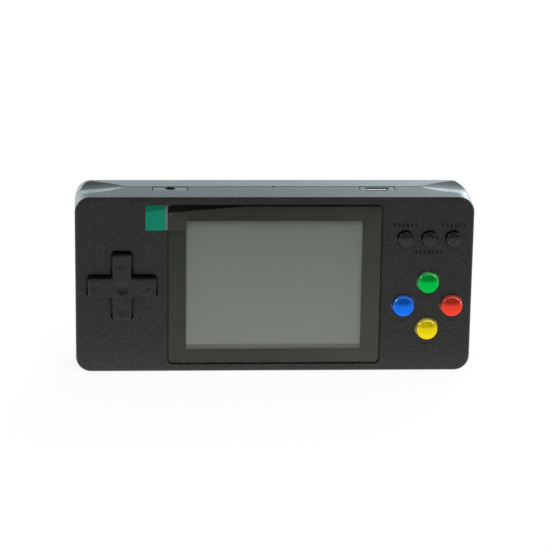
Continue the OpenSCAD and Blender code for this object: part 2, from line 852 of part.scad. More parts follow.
module power_knob() {
    outer_x = -half_w + knob_shy;
    cap_w = wall - knob_shy;
    stem_in = switch_x + switch_w / 2 - run_gap;
    rest_z = switch_z - switch_travel / 2;
    color("#1d1d1d") {
        block(outer_x + cap_w / 2, rest_z, cap_w, knob_l, knob_d - knob_t / 2, knob_d + knob_t / 2);
        block((outer_x + stem_in) / 2, rest_z, stem_in - outer_x, knob_stem_l,
              knob_d - knob_stem_t / 2, knob_d + knob_stem_t / 2);
    }
}

module volume_control() {
    color("#2e4a38") {
        block(wheel_x, wheel_z, pot_w, pot_w, pcb_back, pcb_back + pot_t);
        rod(wheel_x, wheel_z, pcb_back + pot_t - join, wheel_back + run_gap + pot_cap_t, pot_shaft_r);
        rod(wheel_x, wheel_z, wheel_back + run_gap, wheel_back + run_gap + pot_cap_t, pot_cap_r);
    }
}

// Notched outline of the volume wheel
function wheel_outline() = [
    for (i = [0:2 * wheel_notches - 1])
        let (a = 180 * i / wheel_notches, r = i % 2 == 0 ? wheel_r : wheel_r - notch_depth)
            [r * cos(a), r * sin(a)]
];

module volume_wheel() {
    color("#1f1f1f") difference() {
        sheet(wheel_d, wheel_back) translate([wheel_x, wheel_z]) polygon(wheel_outline());
        rod(wheel_x, wheel_z, wheel_d - join, wheel_back + join, pot_shaft_r + run_gap);
    }
}

module speaker_frame() {
    color("#8b8f94") difference() {
        union() {
            rod(speaker_x, speaker_z, speaker_front - speaker_rim_t, speaker_front, speaker_r);
            rod(speaker_x, speaker_z, speaker_back + magnet_t, speaker_front, speaker_r - speaker_rim);
        }
        rod(speaker_x, speaker_z, speaker_back + magnet_t + basket_t, speaker_front + join,
            speaker_r - 2 * speaker_rim);
    }
}

module speaker_cone() {
    cone_r = speaker_r - 2 * speaker_rim;
    color("#d8d3c6") deeper(speaker_x, speaker_z, speaker_back + magnet_t + basket_t)
        cylinder(h = speaker_rim_t, r1 = cone_r / 3, r2 = cone_r);
}

module speaker_magnet() {
    color("#6a6d70") rod(speaker_x, speaker_z, speaker_back, speaker_back + magnet_t, magnet_r);
}

module speaker_gasket() {
    color("#141414") difference() {
        rod(speaker_x, speaker_z, speaker_front, body_d - wall, speaker_r);
        rod(speaker_x, speaker_z, speaker_front - join, body_d - wall + join, speaker_r - speaker_rim);
    }
}

// Two insulated wires between the speaker's rim and the board
module speaker_leads() {
    lead_pitch = 4;
    color("#a02828") for (side = [-1, 1])
        rod(speaker_x - lead_x, speaker_z + side * lead_pitch / 2, pcb_back, speaker_back + magnet_t, lead_r);
}

module battery_pack() {
    color("#3f5d86") sheet(battery_d, battery_d + battery_t)
        translate([battery_x, mid_z]) rounded_rect(battery_w, battery_h, battery_t / 4);
}

module contact_block() {
    color("#222222") difference() {
        block(contact_x, mid_z, contact_w - battery_gap, contact_h, battery_d, battery_d + battery_t);
        for (i = [-1:1])
            rod(contact_x, mid_z + i * contact_pitch, battery_d - join, battery_d + battery_t / 2,
                contact_pin_r + screw_gap);
    }
}

// Three contact pins from the board into the block
module contact_springs() {
    color("#c8a24a") for (i = [-1:1])
        rod(contact_x, mid_z + i * contact_pitch, pcb_back, battery_d + battery_t / 2, contact_pin_r);
}

// Battery door with a round hinge edge, two hinge pins, a latch tongue and a ribbed grip
module battery_door() {
    grip_n = 5;
    grip_pitch = 1.6;
    grip_inset = 5;
    grip_depth = 0.4;
    color("#272727") difference() {
        union() {
            block(door_edge_r / 2, mid_z, door_w - door_edge_r, door_h, door_d, body_d);
            hinge_rod(door_edge_r, 0);
            hinge_rod(hinge_r, door_gap + hinge_l);
            block(tongue_x, mid_z, tongue_t, tongue_w, door_d - tongue_l, door_d + join);
        }
        for (i = [0:grip_n - 1])
            block(door_w / 2 - grip_inset - i * grip_pitch, mid_z, grip_pitch / 2, tongue_w,
                  body_d - grip_depth, body_d + join);
    }
}

// Rubber contact dome on the board, its tip at depth tip
module dome(x, z, tip, base_r, top_r) {
    deeper(x, z, tip) cylinder(h = rubber_d - tip, r1 = top_r, r2 = base_r);
}

module dpad_membrane() {
    color("#4a4a48") {
        difference() {
            rod(pad_x, pad_z, rubber_d, pcb_d, pad_span / 2);
            rod(pad_x, pad_z, rubber_d - join, pcb_d + join, ball_r + loose_gap);
        }
        for (i = [0:3])
            dome(pad_x + nub_reach * cos(90 * i), pad_z + nub_reach * sin(90 * i),
                 rubber_d - pad_dome_h, pad_dome_r, nub_r);
    }
}

module action_membrane() {
    color("#4c4c4a") {
        for (i = [0:3]) {
            p = action_place(i);
            rod(p[0], p[1], rubber_d, pcb_d, rubber_r);
            dome(p[0], p[1], action_dome_d, dome_r, dome_top_r);
        }
        block(button_x, action_z, 2 * action_spread, rubber_r, rubber_d, pcb_d);
        block(button_x, action_z, rubber_r, 2 * action_spread, rubber_d, pcb_d);
    }
}

module function_membrane() {
    color("#4e4e4c") {
        block(button_x, function_z, 2 * function_pitch, rubber_r, rubber_d, pcb_d);
        for (i = [0:2]) {
            p = function_place(i);
            rod(p[0], p[1], rubber_d, pcb_d, dome_r);
            dome(p[0], p[1], function_dome_d, function_dome_r, dome_top_r);
        }
    }
}

// Countersunk cross-headed screw, head at the back
module screw(seat, tip, shank_r, head_r, head_t) {
    slot_w = head_r / 3;
    difference() {
        union() {
            rod(0, 0, tip, seat + join, shank_r);
            rod(0, 0, seat, seat + head_t, head_r);
        }
        for (turn = [0, 1])
            block(0, 0, turn == 0 ? 1.3 * head_r : slot_w, turn == 0 ? slot_w : 1.3 * head_r,
                  seat + head_t / 2, seat + head_t + join);
    }
}

module case_screws() {
    color("#7d8084") at_bosses() screw(screw_seat, screw_tip, screw_r, screw_head_r, screw_head_t);
}

module pcb_screws() {
    color("#a9acb0") at_posts()
        screw(pcb_back, wall + 2 * join, board_screw_r, 2 * board_screw_r, board_screw_head_t);
}

module dpad_pivot() {
    color("#8a8a86") deeper(pad_x, pad_z, ball_d) sphere(ball_r);
}

// Small triangle that points along the arm, cut into the top of the pad
module arm_mark() {
    mark_l = 2.8;
    mark_w = 3.5;
    polygon([[mark_l, 0], [0, mark_w / 2], [0, -mark_w / 2]]);
}

module dpad() {
    dish_depth = 0.45;
    mark_inset = 4.4;
    dish_ball = (pow(pad_dish_r, 2) + pow(dish_depth, 2)) / (2 * dish_depth);
    mark_reach = pad_span / 2 - mark_inset;
    color("#2b2d2d") difference() {
        union() {
            sheet(-pad_proud, pad_flange_d + join) translate([pad_x, pad_z]) cross_outline(0);
            rod(pad_x, pad_z, pad_flange_d, pad_flange_back, pad_span / 2 + pad_flange);
            rod(pad_x, pad_z, pad_flange_d, ball_d, hub_r);
            for (i = [0:3])
                rod(pad_x + nub_reach * cos(90 * i), pad_z + nub_reach * sin(90 * i),
                    pad_flange_d, nub_end, nub_r);
        }
        deeper(pad_x, pad_z, ball_d) sphere(ball_r + run_gap);
        deeper(pad_x, pad_z, dish_depth - pad_proud - dish_ball) sphere(dish_ball, $fn = 96);
        for (i = [0:3])
            sheet(-pad_proud - join, mark_depth - pad_proud) translate([pad_x, pad_z])
                rotate(90 * i) translate([mark_reach, 0]) arm_mark();
    }
}

// Round button with a crown, a rounded shoulder, a flange behind the face and a stem down to its dome
module round_button(place, w, high, dome_d, shoulder, crown) {
    r = w / 2;
    side_l = high - crown + flange_d;
    crown_r = r - shoulder;
    crown_ball = (pow(crown_r, 2) + pow(crown, 2)) / (2 * crown);
    outward(place[0], place[1], flange_d + join) rotate_extrude() {
        square([r, side_l + join - shoulder]);
        square([crown_r, side_l + join]);
        translate([crown_r, side_l + join - shoulder]) circle(shoulder);
    }
    intersection() {
        outward(place[0], place[1], crown_ball - high) sphere(crown_ball, $fn = 96);
        rod(place[0], place[1], -high - join, crown + join - high, crown_r);
    }
    rod(place[0], place[1], flange_d, flange_d + button_flange_t, r + button_flange);
    rod(place[0], place[1], flange_d, dome_d - run_gap, stem_r);
}

module action_button(i) {
    round_button(action_place(i), action_w, action_proud, action_dome_d, action_shoulder, action_crown);
}

module function_button(i) {
    round_button(function_place(i), function_w, function_proud, function_dome_d,
                 function_shoulder, function_crown);
}

module red_button() { color("#d8281c") action_button(0); }
module green_button() { color("#0a9a3a") action_button(1); }
module blue_button() { color("#1458d8") action_button(2); }
module yellow_button() { color("#e8c40c") action_button(3); }
module reset_button() { color("#2a2a29") function_button(0); }
module select_button() { color("#2a2a29") function_button(1); }
module start_button() { color("#2a2a29") function_button(2); }

front_shell();
rear_shell();
screen_lens();
lens_adhesive();
protective_film();
film_pull_tab();
lcd_gasket();
lcd_panel();
lcd_backlight();
lcd_foam_pads();
lcd_ribbon();
main_pcb();
game_chip();
memory_chip();
crystal();
capacitors();
usb_port();
av_jack();
charge_led();
power_switch();
volume_control();
speaker_frame();
speaker_cone();
speaker_magnet();
speaker_gasket();
speaker_leads();
battery_pack();
contact_block();
contact_springs();
dpad_membrane();
action_membrane();
function_membrane();
case_screws();
pcb_screws();
dpad_pivot();
dpad();
green_button();
blue_button();
red_button();
yellow_button();
reset_button();
select_button();
start_button();
power_knob();
volume_wheel();
battery_door();
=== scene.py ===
# %% [markdown]
# # A handheld game console
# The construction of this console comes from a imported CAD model: two shells, a screen, a direction pad,
# buttons and everything inside. This lesson dresses it. The frame is loaded first and never moved. Pieces
# that show get a finer skin worked out with numpy, and pieces whose shape is right already get a finish.

# %% Load the frame
import math

import bmesh
import bpy
import numpy as np
from mathutils import Matrix, Vector


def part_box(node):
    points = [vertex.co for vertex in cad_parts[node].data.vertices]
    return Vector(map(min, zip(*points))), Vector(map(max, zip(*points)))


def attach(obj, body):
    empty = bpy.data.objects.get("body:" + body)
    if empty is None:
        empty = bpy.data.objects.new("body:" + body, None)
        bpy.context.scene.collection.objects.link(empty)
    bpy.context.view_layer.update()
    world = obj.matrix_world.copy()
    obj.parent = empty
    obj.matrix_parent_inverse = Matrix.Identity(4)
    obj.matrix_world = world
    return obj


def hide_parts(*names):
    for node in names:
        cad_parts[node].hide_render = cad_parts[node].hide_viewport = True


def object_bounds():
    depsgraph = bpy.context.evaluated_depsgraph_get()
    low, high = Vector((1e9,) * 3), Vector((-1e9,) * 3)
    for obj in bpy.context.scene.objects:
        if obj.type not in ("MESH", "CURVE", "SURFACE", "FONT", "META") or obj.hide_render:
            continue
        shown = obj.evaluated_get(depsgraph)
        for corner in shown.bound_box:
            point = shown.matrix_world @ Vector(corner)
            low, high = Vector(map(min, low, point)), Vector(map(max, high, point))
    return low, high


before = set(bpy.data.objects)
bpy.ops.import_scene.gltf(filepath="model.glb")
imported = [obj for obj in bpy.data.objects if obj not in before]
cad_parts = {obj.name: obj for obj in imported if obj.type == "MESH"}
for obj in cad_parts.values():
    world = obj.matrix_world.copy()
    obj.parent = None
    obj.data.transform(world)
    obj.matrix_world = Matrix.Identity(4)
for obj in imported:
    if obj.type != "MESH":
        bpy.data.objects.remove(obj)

MM = 0.001
cad_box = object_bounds()


def box_mm(node):
    """Lowest and highest corner of a node, in millimetres."""
    return tuple(np.array(corner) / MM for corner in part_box(node))


face_y = box_mm("front_shell")[0][1]
case_size = (np.array(cad_box[1]) - np.array(cad_box[0])) / MM
print("case", np.round(case_size, 1), "mm, face at", round(face_y, 2))

# %% [markdown]
# ## The camera
# The photograph was taken from a little above the console with a long lens. The place and the tilt were
# fitted to corners of the case, the window and the buttons, so no lens shift is needed. A camera could be
# placed by eye, but a fit lines up every edge at once.

# %% Camera
camera_place = Vector((-46.3, -792.0, 267.9)) * MM
camera_pitch = math.radians(16.606)
camera_yaw = math.radians(3.4)
camera_roll = math.radians(0.83)
focal_mm, sensor_mm = 157.1, 36


def aim_camera():
    """The turn's columns are right, up and backwards, from yaw and pitch, then rolled about the sight."""
    level = math.cos(camera_pitch)
    ahead = Vector((math.sin(camera_yaw) * level, math.cos(camera_yaw) * level, -math.sin(camera_pitch)))
    right = Vector((math.cos(camera_yaw), -math.sin(camera_yaw), 0))
    turn = Matrix((right, right.cross(ahead), -ahead)).transposed()
    return turn @ Matrix.Rotation(camera_roll, 3, "Z")


camera_data = bpy.data.cameras.new("camera")
camera_data.lens = focal_mm
camera_data.sensor_width = sensor_mm
camera_data.clip_end = 20
camera = bpy.data.objects.new("camera", camera_data)
camera.matrix_world = Matrix.Translation(camera_place) @ aim_camera().to_4x4()
bpy.context.scene.collection.objects.link(camera)
bpy.context.scene.camera = camera
bpy.context.scene.view_settings.view_transform = "Standard"
print("camera", round(camera_place.length, 3), "m from the origin, lens", focal_mm, "mm")

# %% [markdown]
# ## A white table and soft light
# Product photographs of black plastic are made on a white sweep. Gloss tells most about the room: the sweep
# is bright low down behind the console, and the room is dark overhead and on the camera's side. So the top
# edge turns pale, while the rounded front edge and the face stay dark.

# %% Helpers that add nodes
def feed(tree, socket, value):
    """Links a socket to another node's output, or sets it to a plain value."""
    if isinstance(value, bpy.types.NodeSocket):
        tree.links.new(value, socket)
    else:
        socket.default_value = value


def wire(tree, kind, **inputs):
    """Adds one node and feeds its inputs by name; an underscore stands for a space in a name."""
    node = tree.nodes.new(kind)
    for name, value in inputs.items():
        feed(tree, node.inputs[name.replace("_", " ")], value)
    return node


def maths(tree, operation, first, second):
    """One Math node on two values or sockets."""
    node = tree.nodes.new("ShaderNodeMath")
    node.operation = operation
    feed(tree, node.inputs[0], first)
    feed(tree, node.inputs[1], second)
    return node.outputs[0]


# %% Helpers that mix colours and shaders
def colour_ramp(tree, factor, stops):
    """Colour that passes through each (position, colour) in turn as the factor grows."""
    ramp = wire(tree, "ShaderNodeValToRGB", Fac=factor)
    while len(ramp.color_ramp.elements) < len(stops):
        ramp.color_ramp.elements.new(1.0)
    for element, (position, colour) in zip(ramp.color_ramp.elements, stops):
        element.position = position
        element.color = (*colour, 1)
    return ramp.outputs["Color"]


def mix_shaders(tree, factor, first, second):
    """First shader where the factor is 0, second where it is 1."""
    node = wire(tree, "ShaderNodeMixShader", Fac=factor)
    tree.links.new(first.outputs[0], node.inputs[1])
    tree.links.new(second.outputs[0], node.inputs[2])
    return node


def blank_tree(owner):
    """Empties the node tree of a material or world."""
    owner.use_nodes = True
    owner.node_tree.nodes.clear()
    return owner.node_tree


def seen_directly(tree):
    """1 for the camera and for what it sees through glass, 0 for every other ray."""
    path = tree.nodes.new("ShaderNodeLightPath").outputs
    return maths(tree, "MAXIMUM", path["Is Camera Ray"], path["Is Transmission Ray"])


# %% World
camera_side_level = 0.22
sweep_by_height = ((0.0, (1.35, 1.62, 1.7)), (0.2, (1.08, 1.3, 1.37)), (0.34, (0.66, 0.77, 0.81)),
                   (0.47, (0.34, 0.38, 0.4)), (1.0, (0.13, 0.135, 0.135)))
right_glow, glow_from, glow_to = 2.45, 0.05, 0.3
sweep_blend = 0.35


def build_world():
    """White to the camera and through glass; else the sweep by height behind, and a dim room in front."""
    world = bpy.data.worlds.new("studio")
    bpy.context.scene.world = world
    tree = blank_tree(world)
    way = tree.nodes.new("ShaderNodeTexCoord").outputs["Generated"]
    parts = wire(tree, "ShaderNodeSeparateXYZ", Vector=way).outputs
    behind = wire(tree, "ShaderNodeMapRange", Value=parts["Y"], From_Min=-sweep_blend, From_Max=sweep_blend)
    glow = wire(tree, "ShaderNodeMapRange", Value=parts["X"], From_Min=glow_from, From_Max=glow_to,
                To_Min=1.0, To_Max=right_glow)
    tint = colour_ramp(tree, parts["Z"], sweep_by_height)
    sweep = wire(tree, "ShaderNodeBackground", Color=tint, Strength=glow.outputs[0])
    dim = wire(tree, "ShaderNodeBackground", Color=(1, 1, 1, 1), Strength=camera_side_level)
    room = mix_shaders(tree, behind.outputs[0], dim, sweep)
    white = wire(tree, "ShaderNodeBackground", Color=(1, 1, 1, 1), Strength=1.0)
    surface = mix_shaders(tree, seen_directly(tree), room, white)
    wire(tree, "ShaderNodeOutputWorld", Surface=surface.outputs[0])


build_world()
print("room made, camera side at", camera_side_level)

# %% Floor
paper_bounce, paper_white_share = 0.21, 0.88
table_depth = 0.6
table_glow = ((0.0, (0.35,) * 3), (0.8, (0.84,) * 3), (0.93, (0.88,) * 3), (0.97, (1.25,) * 3))
floor_front, floor_back, floor_half_width = -0.9, 2.5, 2.5


def floor_finish():
    """White paper to the camera and through glass, shaded for a shadow; to gloss it dims in front."""
    material = bpy.data.materials.new("white_paper")
    tree = blank_tree(material)
    glossy = tree.nodes.new("ShaderNodeLightPath").outputs["Is Glossy Ray"]
    place = tree.nodes.new("ShaderNodeTexCoord").outputs["Object"]
    depth = wire(tree, "ShaderNodeSeparateXYZ", Vector=place).outputs["Y"]
    near = wire(tree, "ShaderNodeMapRange", Value=depth, From_Min=-table_depth, From_Max=0.0)
    paper = wire(tree, "ShaderNodeBsdfDiffuse", Color=(paper_bounce, paper_bounce, paper_bounce, 1))
    tint = colour_ramp(tree, near.outputs[0], table_glow)
    gloss = wire(tree, "ShaderNodeEmission", Color=tint, Strength=1.0)
    white = wire(tree, "ShaderNodeEmission", Color=(1, 1, 1, 1), Strength=1.0)
    bare = wire(tree, "ShaderNodeBsdfDiffuse", Color=(1, 1, 1, 1))
    shaded = mix_shaders(tree, paper_white_share, bare, white)
    around = mix_shaders(tree, glossy, paper, gloss)
    surface = mix_shaders(tree, seen_directly(tree), around, shaded)
    wire(tree, "ShaderNodeOutputMaterial", Surface=surface.outputs[0])
    return material


def lay_floor(front, back, half_width):
    """One flat sheet under the console, as a grid of four corners."""
    corners = [(-half_width, front, 0), (half_width, front, 0),
               (half_width, back, 0), (-half_width, back, 0)]
    mesh = bpy.data.meshes.new("floor")
    mesh.from_pydata(corners, [], [(0, 1, 2, 3)])
    mesh.materials.append(floor_finish())
    floor = bpy.data.objects.new("floor", mesh)
    bpy.context.scene.collection.objects.link(floor)


lay_floor(floor_front, floor_back, floor_half_width)
print("white sweep laid")

# %% [markdown]
# One soft lamp stands high in front, and a fill lower down reaches the display behind its window. These
# and the fill behind are kept out of reflections. A long strip overhead and two small lamps at the sides do
# show in gloss: they make the bright arcs and specks on rims and edges.

# %% Lamps
lamp_target = Vector((0, 0, 0.03))


def add_lamp(name, place, size, watts, in_gloss):
    """A rectangular soft lamp that looks at the middle of the console."""
    data = bpy.data.lights.new(name, "AREA")
    data.shape = "RECTANGLE"
    data.size, data.size_y = size
    data.energy = watts
    lamp = bpy.data.objects.new(name, data)
    turn = (lamp_target - Vector(place)).to_track_quat("-Z", "Y").to_matrix().to_4x4()
    lamp.matrix_world = Matrix.Translation(place) @ turn
    lamp.visible_glossy = in_gloss
    bpy.context.scene.collection.objects.link(lamp)
    print("lamp", name, watts, "W")


add_lamp("key", (0.02, -0.52, 0.78), (0.6, 0.3), 2.6, False)
add_lamp("front_fill", (-0.15, -1.0, 0.3), (0.6, 0.4), 3.6, False)
add_lamp("rear_fill", (0.3, 0.9, 0.55), (0.6, 0.6), 6.0, False)
add_lamp("strip", (0.3, -0.5, 0.75), (1.2, 0.1), 1.1, True)
for side, name in ((-1, "speck_left"), (1, "speck_right")):
    add_lamp(name, (side * 0.72, -0.14, 0.52), (0.12, 0.12), 0.9, True)

# %% [markdown]
# ## Finishes
# A finish is one Principled shader. What is the same all over is set on the shader's own sockets, and what
# varies, such as grain and small changes of colour, comes from noise on Object coordinates, which are in
# metres here, so a noise scale of 2500 makes spots of about 0.4 mm.

# %% Helpers that start a finish
def new_finish(name, colour, roughness, **sockets):
    """A material with one Principled shader and these constant values on its sockets."""
    material = bpy.data.materials.new(name)
    material.use_nodes = True
    shader = material.node_tree.nodes["Principled BSDF"]
    shader.inputs["Base Color"].default_value = (*colour, 1)
    shader.inputs["Roughness"].default_value = roughness
    for socket, value in sockets.items():
        shader.inputs[socket.replace("_", " ")].default_value = value
    return material


def own_place(material):
    """The piece's own coordinates, apart as X, Y and Z."""
    place = material.node_tree.nodes.new("ShaderNodeTexCoord").outputs["Object"]
    return wire(material.node_tree, "ShaderNodeSeparateXYZ", Vector=place).outputs


def speckle(material, scale, detail=3, stretch=(1, 1, 1)):
    """Noise over the piece's own coordinates; stretch squeezes it along an axis."""
    tree = material.node_tree
    place = tree.nodes.new("ShaderNodeTexCoord").outputs["Object"]
    mapped = wire(tree, "ShaderNodeMapping", Vector=place, Scale=stretch).outputs[0]
    return wire(tree, "ShaderNodeTexNoise", Vector=mapped, Scale=scale, Detail=detail).outputs["Fac"]


# %% Helpers that vary a finish
noise_low, noise_high = 0.3, 0.7


def link_in(material, socket, source):
    """Links a source to a socket of the material's Principled shader."""
    tree = material.node_tree
    tree.links.new(source, tree.nodes["Principled BSDF"].inputs[socket])


def spread(material, factor, low, high, start=noise_low, end=noise_high):
    """Maps a factor, by default over the usual reach of noise, to a range of values."""
    return wire(material.node_tree, "ShaderNodeMapRange", Value=factor, From_Min=start, From_Max=end,
                To_Min=low, To_Max=high).outputs[0]


def mottle(material, factor, first, second):
    """Small changes of base colour."""
    stops = ((noise_low, first), (noise_high, second))
    link_in(material, "Base Color", colour_ramp(material.node_tree, factor, stops))
    return material


def grain(material, factor, strength, height_mm):
    """Fine relief from a factor."""
    height = height_mm * MM
    bump = wire(material.node_tree, "ShaderNodeBump", Height=factor, Strength=strength, Distance=height)
    link_in(material, "Normal", bump.outputs[0])
    return material


# %% [markdown]
# ### Black moulded plastic
# The case is spark-eroded ABS: a fine matt grain that is nearly black seen straight on. Seen at a shallow
# angle such a grain closes up and shines, as along the top edge, so the roughness falls with the slant. A
# picture of grain would stretch round the corners, so noise in space is used.

# %% Black plastics
patch_scale, pit_scale = 900, 1300
patch_dullness, pit_gloss = 0.04, (0.4, 0.6)
slant_start, slant_end = 0.4, 0.75
grain_strength = 0.25


def black_plastic(name, dark, light, roughness, slant_roughness, grain_scale, grain_mm):
    """Matt black: patches of tone, duller and glossier pits and a fine grain, with more gloss at a slant."""
    material = new_finish(name, dark, roughness)
    tree = material.node_tree
    tone = speckle(material, patch_scale, detail=5)
    mottle(material, tone, dark, light)
    slant = wire(tree, "ShaderNodeLayerWeight", Blend=0.5).outputs["Facing"]
    gloss = spread(material, slant, roughness, slant_roughness, start=slant_start, end=slant_end)
    dullness = spread(material, tone, -patch_dullness, patch_dullness)
    link_in(material, "Roughness", maths(tree, "ADD", gloss, dullness))
    link_in(material, "Specular IOR Level", spread(material, speckle(material, pit_scale), *pit_gloss))
    return grain(material, speckle(material, grain_scale), grain_strength, grain_mm)


shell_black = black_plastic("case_black", (0.0022, 0.0022, 0.0014), (0.0122, 0.0122, 0.0108),
                            roughness=0.44, slant_roughness=0.23, grain_scale=2400, grain_mm=0.035)
pad_black = black_plastic("pad_black", (0.0016, 0.0026, 0.0025), (0.0052, 0.0072, 0.007),
                          roughness=0.34, slant_roughness=0.22, grain_scale=5200, grain_mm=0.005)
button_black = black_plastic("button_black", (0.004, 0.004, 0.0035), (0.0055, 0.0055, 0.005),
                             roughness=0.18, slant_roughness=0.15, grain_scale=5200, grain_mm=0.004)
print("black plastics mixed")

# %% [markdown]
# ### Keep the CAD shells
# The two shells are right as they are. Their rounded edges came over as small flat facets, though, so the
# facets that meet at a point share one normal, in which large faces count most. Only the shading changes.

# %% Shading of CAD nodes
def read_array(items, key, width, kind=np.float64):
    """One property of all items as an array of rows."""
    values = np.empty(len(items) * width, kind)
    items.foreach_get(key, values)
    return values.reshape(-1, width) if width > 1 else values


def shared_normals(point, facing, weight, crease):
    """For each corner, the weighted sum of the facings at the same point within the crease angle."""
    order = np.argsort(point, kind="stable")
    point, facing = point[order], facing[order]
    share = facing * weight[order, None]
    total = share.copy()
    for step in range(1, np.bincount(point).max()):
        alike = np.sum(facing[step:] * facing[:-step], axis=1) > math.cos(crease)
        meet = (point[step:] == point[:-step]) & alike
        total[:-step][meet] += share[step:][meet]
        total[step:][meet] += share[:-step][meet]
    result = np.empty_like(total)
    result[order] = total / np.linalg.norm(total, axis=1, keepdims=True)
    return result


def soften(node, material, crease=28):
    """Gives a CAD node its finish and smooth shading; curved faces keep the normals they came with."""
    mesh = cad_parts[node].data
    places = read_array(mesh.vertices, "co", 3)[read_array(mesh.loops, "vertex_index", 1, np.int32)]
    normals = read_array(mesh.corner_normals, "vector", 3)
    corners = read_array(mesh.polygons, "loop_total", 1, np.int32)
    face = np.repeat(np.arange(len(corners)), corners)
    flat = ~read_array(mesh.polygons, "use_smooth", 1, bool)[face]
    point = np.unique(np.round(places[flat] / MM, 3), axis=0, return_inverse=True)[1].ravel()
    facing = read_array(mesh.polygons, "normal", 3)[face[flat]]
    area = read_array(mesh.polygons, "area", 1)[face[flat]]
    if flat.any():
        normals[flat] = shared_normals(point, facing, area, math.radians(crease))
    mesh.shade_smooth()
    mesh.normals_split_custom_set(normals.tolist())
    mesh.materials.clear()
    mesh.materials.append(material)


for node in ("front_shell", "rear_shell", "battery_door"):
    soften(node, shell_black)
print("shells softened")

# %% [markdown]
# ## Skins made of rings
# Almost every small part here is a stack of rings: an outline is drawn once, then repeated at other depths,
# a little larger or smaller each time. Quads join neighbouring rings, and a fan or a flat face shuts an end.

# %% Ring helpers
def ring_quads(rows, columns, wrap_rows=False):
    """Quads between ring i and ring i + 1, from column j to j + 1, the last column joined to the first."""
    i, j = np.meshgrid(np.arange(rows if wrap_rows else rows - 1), np.arange(columns), indexing="ij")
    down, along = (i + 1) % rows, (j + 1) % columns
    corners = [i * columns + j, i * columns + along, down * columns + along, down * columns + j]
    return np.stack(corners, -1).reshape(-1, 4)


def closed_skin(rings, first=None, last=None):
    """Skin over a stack of rings. Each end is shut by a fan to the point given, or by one flat face."""
    rows, columns = rings.shape[:2]
    points = rings.reshape(-1, 3)
    faces = ring_quads(rows, columns).tolist()
    for start, point in ((0, first), ((rows - 1) * columns, last)):
        rim = start + np.arange(columns)
        if point is None:
            faces.append(rim.tolist())
        else:
            faces += np.stack([rim, np.roll(rim, -1), np.full(columns, len(points))], -1).tolist()
            points = np.vstack([points, point])
    return points, faces


def looped_skin(rings):
    """Skin over rings whose last ring joins the first, as on a picture frame or a washer."""
    rows, columns = rings.shape[:2]
    return rings.reshape(-1, 3), ring_quads(rows, columns, wrap_rows=True).tolist()


def join_skins(skins):
    """Several separate skins in one mesh: their faces count on from the points before."""
    starts = np.cumsum([0] + [len(points) for points, _ in skins])
    faces = [[corner + start for corner in face]
             for (_, part), start in zip(skins, starts) for face in part]
    return np.vstack([points for points, _ in skins]), faces


# %% Helper that makes a piece
def add_piece(name, skin, material, body, replaced=(), crease=40):
    """Puts a skin in millimetres into a mesh in metres, faces turned outwards, that rides on a body."""
    points, faces = skin
    mesh = bpy.data.meshes.new(name)
    mesh.from_pydata((points * MM).tolist(), [], faces)
    solid = bmesh.new()
    solid.from_mesh(mesh)
    bmesh.ops.recalc_face_normals(solid, faces=solid.faces)
    solid.to_mesh(mesh)
    solid.free()
    mesh.shade_smooth()
    mesh.set_sharp_from_angle(angle=math.radians(crease))
    mesh.materials.append(material)
    piece = bpy.data.objects.new(name, mesh)
    bpy.context.scene.collection.objects.link(piece)
    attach(piece, body)
    if replaced:
        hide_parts(*replaced)
    print(name, len(mesh.polygons), "faces on", body)
    return piece


# %% Outlines
def rounded_outline(width, height, radius, per_corner=9):
    """Rectangle with round corners: each is a centre plus radius times (cos a, sin a), a quarter turn."""
    quarter = np.linspace(0, np.pi / 2, per_corner)
    angle = np.arange(4)[:, None] * np.pi / 2 + quarter
    side = np.array([[1, 1], [-1, 1], [-1, -1], [1, -1]])
    centre = side * np.array([width / 2 - radius, height / 2 - radius])
    return (centre[:, None] + radius * np.stack([np.cos(angle), np.sin(angle)], -1)).reshape(-1, 2)


def drawn_in(width, height, radius, per_corner=9, ease=1.0):
    """The rounded rectangle as a function of how far it is drawn in; ease is how fast corners tighten."""
    def ring_at(inset):
        return rounded_outline(width - 2 * inset, height - 2 * inset, radius - ease * inset, per_corner)
    return ring_at


def stack_rings(ring_at, profile, centre, depth_axis=1):
    """Profile carried round a path: for each (inset, depth), the outline drawn in by inset at that depth."""
    flat = np.stack([ring_at(inset) + centre for inset, _ in profile])
    depth = np.broadcast_to(np.array([d for _, d in profile])[:, None, None], flat.shape[:2] + (1,))
    return np.concatenate([flat[..., :depth_axis], depth, flat[..., depth_axis:]], -1)


def quarter_round(radius, inset, depth, steps=7):
    """Profile of a rounded edge: from the side at depth + radius in to the front at depth."""
    angle = np.linspace(0, np.pi / 2, steps)
    return [(inset + radius * (1 - math.cos(a)), depth + radius * (1 - math.sin(a))) for a in angle]


# %% [markdown]
# ## The direction pad
# A moulded cross with soft edges, a thumb dish in the middle and an arrow cut into each arm. The outline is
# star-shaped about its middle, so the top can be filled with ever smaller copies of the same outline, and
# the dish and the arrows are a depth worked out for every point at once.

# %% Outline of the pad
pad_lo, pad_hi = box_mm("dpad")
pad_centre = (pad_lo + pad_hi)[[0, 2]] / 2
pad_half_span, pad_half_arm = 11.5, 3.2
pad_outer_round, pad_inner_round, corner_ease = 0.9, 0.55, 0.6


